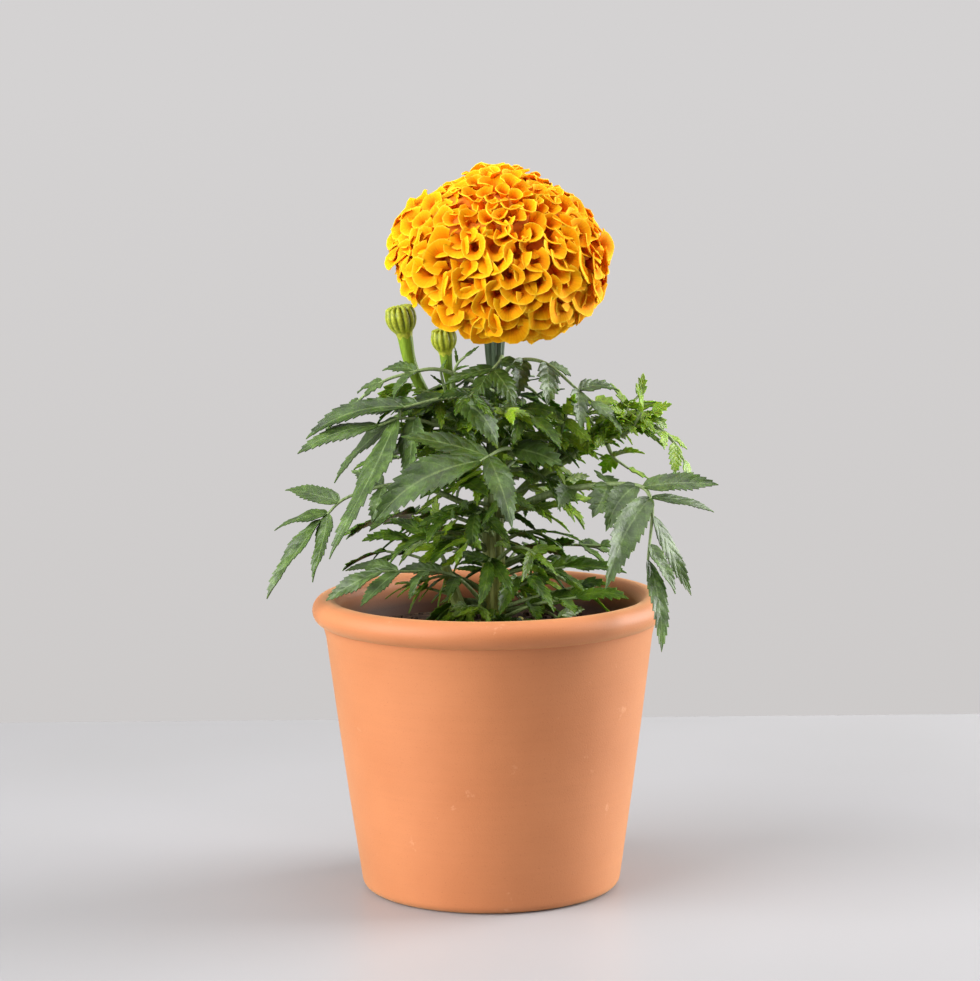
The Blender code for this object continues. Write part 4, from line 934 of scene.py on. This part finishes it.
# The young blade is a paler yellow green, made brighter still as painted light: the glow of leaves with light behind
# them.
young_backlit_blade = leaf_blade_green("young_leaf_blade", "5E7E04", "80A00C", "9EBA28", "B8CA5C", 0.46, 0.5, 0.5)
mid_blade = leaf_blade_green("half_grown_leaf_blade", "46620A", "668414", "8AA42E", "A2B45A", 0.44, 0.45, 0.45)
inner_blade = leaf_blade_green("inner_leaf_blade", "28400A", "44620E", "688820", "8AA04A", 0.42, 0.4, 0.4)
rib_skin = green_stalk("leaf_rib_skin", "8A9E62", "8CA068", "8FA36C", 100, 220)

for name, foot_at, rib_points, blades in LEAVES:
    # Shoot and young leaves, and the back leaf with light behind it, take the bright blade: young colour and painted
    # backlit glow.
    young_or_lit_leaf = "shoot" in name or "lit" in name or "young" in name
    blade_skin = old_blade
    if young_or_lit_leaf:
        blade_skin = young_backlit_blade
    elif name in SHADED_LEAVES:
        blade_skin = inner_blade
    elif name in FRONT_LEAVES:
        blade_skin = front_blade
    skins = (rib_skin, blade_skin)
    grow_leaf("toothed_" + name, name, foot_at, rib_points, blades, None, skins)

for name, level, azimuth, reach, rise, fall, pairs, length, width in BACK_LEAVES:
    draw = random.Random(name)
    start, out = on_stem(level, azimuth)
    side = Vector((-out.y, out.x, 0.0))
    rib_points = []
    for share in (0.35, 0.7, 1.0):
        lifted = rise * math.sin(math.pi * 0.6 * share) - fall * share ** 2
        rib_points.append(start + out * reach * share + Vector((0, 0, lifted)))
    blades = []
    for pair in range(pairs):
        share = 0.42 + 0.42 * pair / max(pairs - 1, 1)
        for way in (-1, 1):
            spread = math.radians(draw.uniform(56, 70) - 8 * share)
            reach_here = length * (0.75 + 0.35 * share) * draw.uniform(0.88, 1.1)
            lifted = start.z + rise * math.sin(math.pi * 0.6 * share) - fall * share ** 2
            tip = (start + out * reach * share + out * math.cos(spread) * reach_here
                   + side * way * math.sin(spread) * reach_here)
            tip.z = lifted - reach_here * draw.uniform(0.2, 0.45)
            blades.append((share, tip, width * draw.uniform(0.85, 1.1)))
    blades.append((1.0, rib_points[-1] + out * length + Vector((0, 0, -length * 0.45)), width * 1.1))
    grow_leaf("toothed_" + name, name, (level, azimuth), rib_points, blades, out * 0.5 + Vector((0, 0, 0.85)),
              (rib_skin, inner_blade))


# Small leaves
# In the angle of each big leaf a short leafy shoot grows, and the side shoot at the
# right is thick with them. They are the same leaves, smaller, narrower and fresher.
AXIL_LEAVES = 44
AXIL_LOW, AXIL_HIGH = 109.0, 203.0
AXIL_REACH = (18.0, 33.0)
FOOT_SHOWS_TO = 126.0
SHOOT_LEAVES = 21
BUD_STALK_LEAVES = 11
FOOT_LEAVES = 9
SHOOT_REACH = (12.0, 22.0)
WISPS = [
    ("thin_wisp", [(-14, -5, 196), (-13.5, -6, 203), (-11.5, -7, 209), (-8.5, -8, 212)], [
        (1.0, (-3, -8, 216), 1.3), (0.6, (-7, -9, 208.5), 1.1), (0.75, (-12.5, -8, 216), 1.0)]),
    ("short_wisp", [(-15, -5, 194), (-17, -6, 201), (-18, -7, 206)], [
        (1.0, (-15.5, -8, 211), 1.2), (0.6, (-22, -8, 205), 1.1)]),
]


def small_leaf(name, start, out, reach, climb, droop, pairs, length, width, skins, draw):
    """A small compound leaf that starts at a point and arches out from it."""
    side = Vector((-out.y, out.x, 0.0)).normalized()
    rib_points = [start]
    for share in (0.35, 0.7, 1.0):
        lifted = climb * share - droop * share ** 2
        rib_points.append(start + out * reach * share + Vector((0, 0, lifted)))
    blades = []
    for pair in range(pairs):
        share = 0.38 + 0.5 * pair / max(pairs - 1, 1)
        centre = start + out * reach * share + Vector((0, 0, climb * share - droop * share ** 2))
        for way in (-1, 1):
            spread = math.radians(draw.uniform(38, 62))
            grown = length * draw.uniform(0.75, 1.1)
            fall = draw.uniform(-0.25, 0.95)
            tip = centre + out * math.cos(spread) * grown + side * way * math.sin(spread) * grown
            tip.z -= grown * fall
            blades.append((share, tip, width * draw.uniform(0.85, 1.15)))
    end = rib_points[-1]
    blades.append((1.0, end + (end - rib_points[-2]).normalized() * length + Vector((0, 0, -0.2 * length)), width * 1.1))
    face = out * 0.5 + Vector((draw.uniform(-0.6, 0.6), draw.uniform(-0.9, 0.3), draw.uniform(0.1, 0.9)))
    return grow_leaf(name, None, (), rib_points, blades, face, skins)


draw = random.Random("axils")
small = []
for index in range(AXIL_LEAVES):
    level = AXIL_LOW + (AXIL_HIGH - AXIL_LOW) * (index + 0.5) / AXIL_LEAVES
    azimuth = (index * 137.5 + draw.uniform(-15, 15)) % 360
    if level < FOOT_SHOWS_TO and 215 < azimuth < 325:
        azimuth = (azimuth + 110) % 360
    start, out = on_stem(level, azimuth, -0.3)
    reach = draw.uniform(*AXIL_REACH) * (1.0 - 0.25 * (index / AXIL_LEAVES))
    blade_skin = draw.choice((inner_blade, inner_blade, mid_blade, young_backlit_blade))
    small.append(small_leaf("axil_leaf_%02d" % index, start, out, reach, reach * draw.uniform(0.3, 0.8),
                            reach * draw.uniform(0.3, 0.7), draw.choice((2, 3, 3)), draw.uniform(12, 19),
                            draw.uniform(2.4, 3.7), (rib_skin, blade_skin), draw))
for index in range(FOOT_LEAVES):
    azimuth = 175 + 200 * (index + 0.5) / FOOT_LEAVES + draw.uniform(-8, 8)
    start, out = on_stem(draw.uniform(105, 112), azimuth, -0.3)
    reach = draw.uniform(10, 34)
    small.append(small_leaf("foot_leaf_%02d" % index, start, out, reach, reach * draw.uniform(0.1, 0.5), 2.0,
                            2, draw.uniform(9, 13), draw.uniform(2.6, 3.6),
                            (rib_skin, draw.choice((inner_blade, mid_blade))), draw))
for stalk_path in bud_stalk_paths:
    for index in range(BUD_STALK_LEAVES):
        share = 0.25 + 0.48 * index / BUD_STALK_LEAVES
        place, tangent = point_at(stalk_path, measure(stalk_path), share)
        around = math.radians(200 + index * 137.5)
        out = Vector((math.cos(around), math.sin(around), 0.0))
        reach = draw.uniform(9, 17)
        small.append(small_leaf("bud_stalk_leaf_%02d" % index, place, out, reach, reach * draw.uniform(0.5, 1.0) * (1 - share),
                                reach * draw.uniform(0.3, 0.8), 2, draw.uniform(10, 14), draw.uniform(3.0, 4.4),
                                (rib_skin, draw.choice((inner_blade, mid_blade, mid_blade))), draw))
for name, rib_points, blades in WISPS:
    small.append(grow_leaf(name, None, (), rib_points, blades, Vector((0, -0.6, 0.8)), (rib_skin, inner_blade)))
axils = join(small[0], small[1:])
axils.name = "axil_leaves"

small = []
# Shoot leaves mostly take the bright young blade, whose extra brightness is painted backlit glow.
for index in range(SHOOT_LEAVES):
    share = 0.28 + 0.72 * (index + 0.5) / SHOOT_LEAVES
    place, tangent = point_at(shoot_path, measure(shoot_path), share)
    around = math.radians(index * 137.5 + draw.uniform(-20, 20))
    across = Vector((math.cos(around), math.sin(around), 0.0))
    out = (across + tangent * 0.35).normalized()
    reach = draw.uniform(*SHOOT_REACH) * (1.0 - 0.6 * share)
    small.append(small_leaf("shoot_leaf_%02d" % index, place, out, reach, reach * draw.uniform(0.6, 1.8) * (1.1 - 0.5 * share),
                            reach * draw.uniform(0.1, 0.6), draw.choice((2, 3)), draw.uniform(13, 18) * (1 - 0.4 * share),
                            draw.uniform(2.8, 4.0), (rib_skin, draw.choice((young_backlit_blade, young_backlit_blade, young_backlit_blade, mid_blade))), draw))
shoots = join(small[0], small[1:])
shoots.name = "shoot_leaves"
for pattern in (long_leaflet, short_leaflet, tiny_leaflet):
    bpy.data.objects.remove(pattern)


# Bloom
# A fully double flower head: some two hundred ray florets grown from one domed
# seat, each a thin petal rolled into a funnel that opens towards the middle.
BLOOM_RADIUS = 43.5
BLOOM_TOP = 31.5
BLOOM_BELOW = 19.0
CORE_SHARE = 0.8
FLORETS = 320
PETAL_THICKNESS = 0.35
FLORET_SIZES = 6
FLORET_KINDS = 4
FLORET_COLUMNS = 10
FLORET_LENGTH = 13.0
FLORET_ROWS = (0.0, 0.4, 0.68, 0.88, 1.0)
UNDER_RINGS = [(20, 110, 0.93), (17, 124, 0.98)]


def petal_skin():
    """Petal skin: orange to yellow colour in a velvety, slightly see-through sheet.
    It is deep red orange down in the funnel, partly its own colour and partly painted shade, and brightest along the
    lip, partly a yellow margin and partly a painted highlight."""
    material, tree = new_material("velvet_petal")
    coords = add(tree, "ShaderNodeTexCoord")
    split = add(tree, "ShaderNodeSeparateXYZ", {"Vector": coords.outputs["UV"]})
    blush = add(tree, "ShaderNodeTexNoise", {"Vector": coords.outputs["Object"], "Scale": 160.0, "Detail": 2.0})
    spread = add(tree, "ShaderNodeMath", {0: blush.outputs["Fac"], 1: 0.16, 2: -0.08}, operation="MULTIPLY_ADD")
    along = add(tree, "ShaderNodeMath", {0: split.outputs["Y"], 1: spread.outputs[0]}, operation="ADD")
    # From the funnel's foot to the lip: the deep red orange low stops are partly painted shade, and the pale yellow
    # last stop is partly a painted highlight along the lip.
    tone = ramp(tree, along.outputs[0], [(0.05, "A03204"), (0.3, "CE5C06"), (0.52, "EC8604"), (0.74, "F7A002"),
                                         (0.93, "FCB206"), (0.99, "FFC82C")])
    stretched = add(tree, "ShaderNodeMapping", {"Vector": coords.outputs["UV"], "Scale": (26.0, 1.2, 1.0)})
    veins = add(tree, "ShaderNodeTexNoise", {"Vector": stretched.outputs["Vector"], "Scale": 1.0, "Detail": 2.0})
    streak = ramp(tree, veins.outputs["Fac"], [(0.35, "D8B080"), (0.6, "FFFFFF")])
    streaked = add(tree, "ShaderNodeMixRGB", {"Fac": 0.3, "Color1": tone, "Color2": streak}, blend_type="MULTIPLY")
    bump = add(tree, "ShaderNodeBump", {"Height": veins.outputs["Fac"], "Strength": 0.3, "Distance": 0.0004})
    shader = add(tree, "ShaderNodeBsdfPrincipled", {
        "Base Color": streaked.outputs["Color"], "Roughness": 0.7, "IOR": 1.4, "Specular IOR Level": 0.12,
        "Subsurface Weight": 0.25, "Subsurface Radius": (1.0, 0.45, 0.1), "Subsurface Scale": 0.0012,
        "Normal": bump.outputs["Normal"]})
    add(tree, "ShaderNodeOutputMaterial", {"Surface": shader.outputs["BSDF"]})
    return material


def shape_floret(name, opening, draw):
    """One ray floret along +Z, hollow towards +Y: a narrow trumpet when opening is 0,
    a broad scoop with its lip rolled back when it is 1."""
    bpy.ops.object.select_all(action="DESELECT")
    bpy.ops.mesh.primitive_grid_add(x_subdivisions=FLORET_COLUMNS, y_subdivisions=len(FLORET_ROWS) - 1, size=2)
    floret = start_piece(name)
    throat = 1.2 + 0.5 * opening
    mouth = (2.9 + 1.6 * opening) * draw.uniform(0.9, 1.15)
    deep_curl = math.radians(170 - 30 * opening)
    lip_curl = math.radians(152 - 52 * opening) * draw.uniform(0.85, 1.1)
    centre_shift = 0.2 + 1.4 * opening
    flare = (1.3 + 1.2 * opening) * draw.uniform(0.7, 1.3)
    lean = draw.uniform(-0.4, 0.4)
    frill = draw.uniform(0.3, 0.75)
    waves = draw.choice((5, 6, 7))
    phase = draw.uniform(0, math.tau)
    for vert in floret.data.vertices:
        across = vert.co.x
        along = FLORET_ROWS[round((vert.co.y + 1) / 2 * (len(FLORET_ROWS) - 1))]
        late = max(along - 0.45, 0.0) / 0.55
        curl = deep_curl + (lip_curl - deep_curl) * along
        angle = across * curl + lean * late
        radius = throat * (0.7 + 0.3 * along) + (mouth - throat) * late ** 1.5
        ruffle = frill * late ** 2 * math.sin(across * waves + phase)
        reach = radius + flare * late ** 3 * (1 - 0.3 * across ** 2) + ruffle
        notch = 0.9 * frill * math.cos(across * (waves + 1.5) + phase) * late ** 2
        dip = 0.6 * across ** 2 + (0.6 + 1.6 * opening) * across ** 4
        roll_back = (0.4 + 1.0 * opening) * late ** 4
        height = FLORET_LENGTH * along - late * dip - roll_back + notch
        vert.co = (reach * math.sin(angle), centre_shift * late - reach * math.cos(angle), height)
    solid = floret.modifiers.new("thickness", "SOLIDIFY")
    solid.thickness = PETAL_THICKNESS
    solid.offset = 0.0
    apply_all(floret)
    tidy_mesh(floret)
    return floret


bpy.ops.object.select_all(action="DESELECT")
bpy.ops.mesh.primitive_uv_sphere_add(segments=48, ring_count=24, radius=1.0)
head = start_piece("double_bloom")
turn = Vector((0, 0, 1)).rotation_difference(bloom_axis)
for vert in head.data.vertices:
    tall = BLOOM_TOP * CORE_SHARE if vert.co.z > 0 else BLOOM_BELOW
    wide = BLOOM_RADIUS * CORE_SHARE
    vert.co = turn @ Vector((vert.co.x * wide, vert.co.y * wide, vert.co.z * tall)) + BLOOM_CENTRE

throat_material, tree = new_material("floret_throats")
depths = add(tree, "ShaderNodeTexCoord").outputs["Object"]
mottle = add(tree, "ShaderNodeTexNoise", {"Vector": depths, "Scale": 300.0, "Detail": 2.0})
throat_tone = ramp(tree, mottle.outputs["Fac"], [(0.3, "CC6A08"), (0.7, "EA920C")])
throat_shader = add(tree, "ShaderNodeBsdfPrincipled", {"Base Color": throat_tone, "Roughness": 0.9})
add(tree, "ShaderNodeOutputMaterial", {"Surface": throat_shader.outputs["BSDF"]})
petal = petal_skin()
head.data.materials.append(throat_material)
patterns = {}
for size in range(FLORET_SIZES):
    for kind in range(FLORET_KINDS):
        pattern_draw = random.Random("floret %d %d" % (size, kind))
        patterns[size, kind] = shape_floret("floret_%d_%d" % (size, kind), size / (FLORET_SIZES - 1), pattern_draw)


def hump(share):
    """A smooth hump: nothing at 0 and 1, and 1 halfway."""
    return math.sin(math.pi * min(max(share, 0.0), 1.0))


def under_ray(index, azimuth, end_polar, end_reach, draw):
    """An outer ray floret: a broad strap that runs from the cup out to the bloom's edge."""
    bpy.ops.object.select_all(action="DESELECT")
    bpy.ops.mesh.primitive_grid_add(x_subdivisions=4, y_subdivisions=6, size=2)
    ray = start_piece("under_ray_%02d" % index)
    waves = draw.uniform(3, 5)
    phase = draw.uniform(0, math.tau)
    lift, roll_over = draw.uniform(-1.0, 0.5), draw.uniform(-1.0, 1.0)
    for vert in ray.data.vertices:
        across, along = vert.co.x, (vert.co.y + 1) / 2
        polar = math.radians(168 + (end_polar - 168) * along)
        reach = BLOOM_RADIUS * math.sin(polar) * (0.83 + (end_reach - 0.83) * along)
        half = 2.0 + 6.0 * along ** 0.8
        frill = 0.7 * along ** 3 * math.sin(across * waves + phase)
        drop = (0.6 * across ** 2 + lift + roll_over * across) * along - frill
        turn_by = azimuth + across * half / max(reach, 9.0)
        reach -= 1.6 * abs(across) ** 3 * along ** 4
        vert.co = (reach * math.cos(turn_by), reach * math.sin(turn_by), BLOOM_BELOW * math.cos(polar) + drop)
    solid = ray.modifiers.new("thickness", "SOLIDIFY")
    solid.thickness = PETAL_THICKNESS
    solid.offset = 0.0
    apply_all(ray)
    tidy_mesh(ray)
    return ray


golden = math.pi * (3 - math.sqrt(5))
florets = []
draw = random.Random("bloom")
for index in range(FLORETS):
    share = (index + 0.5) / FLORETS
    polar = math.acos(1 - 1.62 * share ** 1.12)
    polar += math.radians(draw.uniform(-1.8, 1.8))
    azimuth = index * golden + math.radians(draw.uniform(-2.5, 2.5)) / max(math.sin(polar), 0.2)
    tall = BLOOM_TOP if polar < math.pi / 2 else BLOOM_BELOW
    surface = Vector((BLOOM_RADIUS * math.sin(polar) * math.cos(azimuth),
                      BLOOM_RADIUS * math.sin(polar) * math.sin(azimuth), tall * math.cos(polar)))
    normal = Vector((surface.x / BLOOM_RADIUS ** 2, surface.y / BLOOM_RADIUS ** 2,
                     surface.z / tall ** 2)).normalized()
    out = surface.normalized().lerp(normal, 0.45).normalized()
    around = Vector((-math.sin(azimuth), math.cos(azimuth), 0.0))
    pole = around.cross(out)
    if pole.z < 0:
        pole = -pole
    roll_turn = Quaternion(out, draw.uniform(-1.1, 1.1))
    pole = roll_turn @ pole
    tilt = Quaternion(pole.cross(out), draw.uniform(-0.26, 0.26))
    out, pole = tilt @ out, tilt @ pole
    side = pole.cross(out)
    opening = min(polar / math.radians(85), 1.0)
    size = min(int(opening * FLORET_SIZES), FLORET_SIZES - 1)
    pattern = patterns[size, draw.randrange(FLORET_KINDS)]
    floret = pattern.copy()
    floret.data = pattern.data.copy()
    bpy.context.scene.collection.objects.link(floret)
    scale = draw.uniform(0.82, 1.2)
    tip = surface * draw.uniform(0.97, 1.035)
    upright = turn @ tip
    shoulder = min(max((upright.z - 4) / 16, 0.0), 1.0)
    tip *= 1 - shoulder * (0.11 * hump((-4 - upright.x) / 36) + 0.07 * hump((upright.x - 6) / 32))
    to_bloom = Matrix((side, pole, out)).transposed().to_4x4() @ Matrix.Scale(scale, 4)
    floret.data.transform(Matrix.Translation((0, 0, -FLORET_LENGTH)))
    floret.data.transform(turn.to_matrix().to_4x4() @ Matrix.Translation(tip) @ to_bloom)
    floret.data.transform(Matrix.Translation(BLOOM_CENTRE))
    floret.data.materials.append(petal)
    florets.append(floret)
for pattern in patterns.values():
    bpy.data.objects.remove(pattern)
for ring, (rays, end_polar, end_reach) in enumerate(UNDER_RINGS):
    for index in range(rays):
        ray = under_ray(index, math.tau * (index + 0.5 * ring + draw.uniform(-0.15, 0.15)) / rays,
                        end_polar + draw.uniform(-4, 4), end_reach, draw)
        ray.data.transform(Matrix.Translation(BLOOM_CENTRE) @ turn.to_matrix().to_4x4())
        ray.data.materials.append(petal)
        florets.append(ray)
head = join(head, florets)
finish_piece(head, ["bloom"], None, 60)
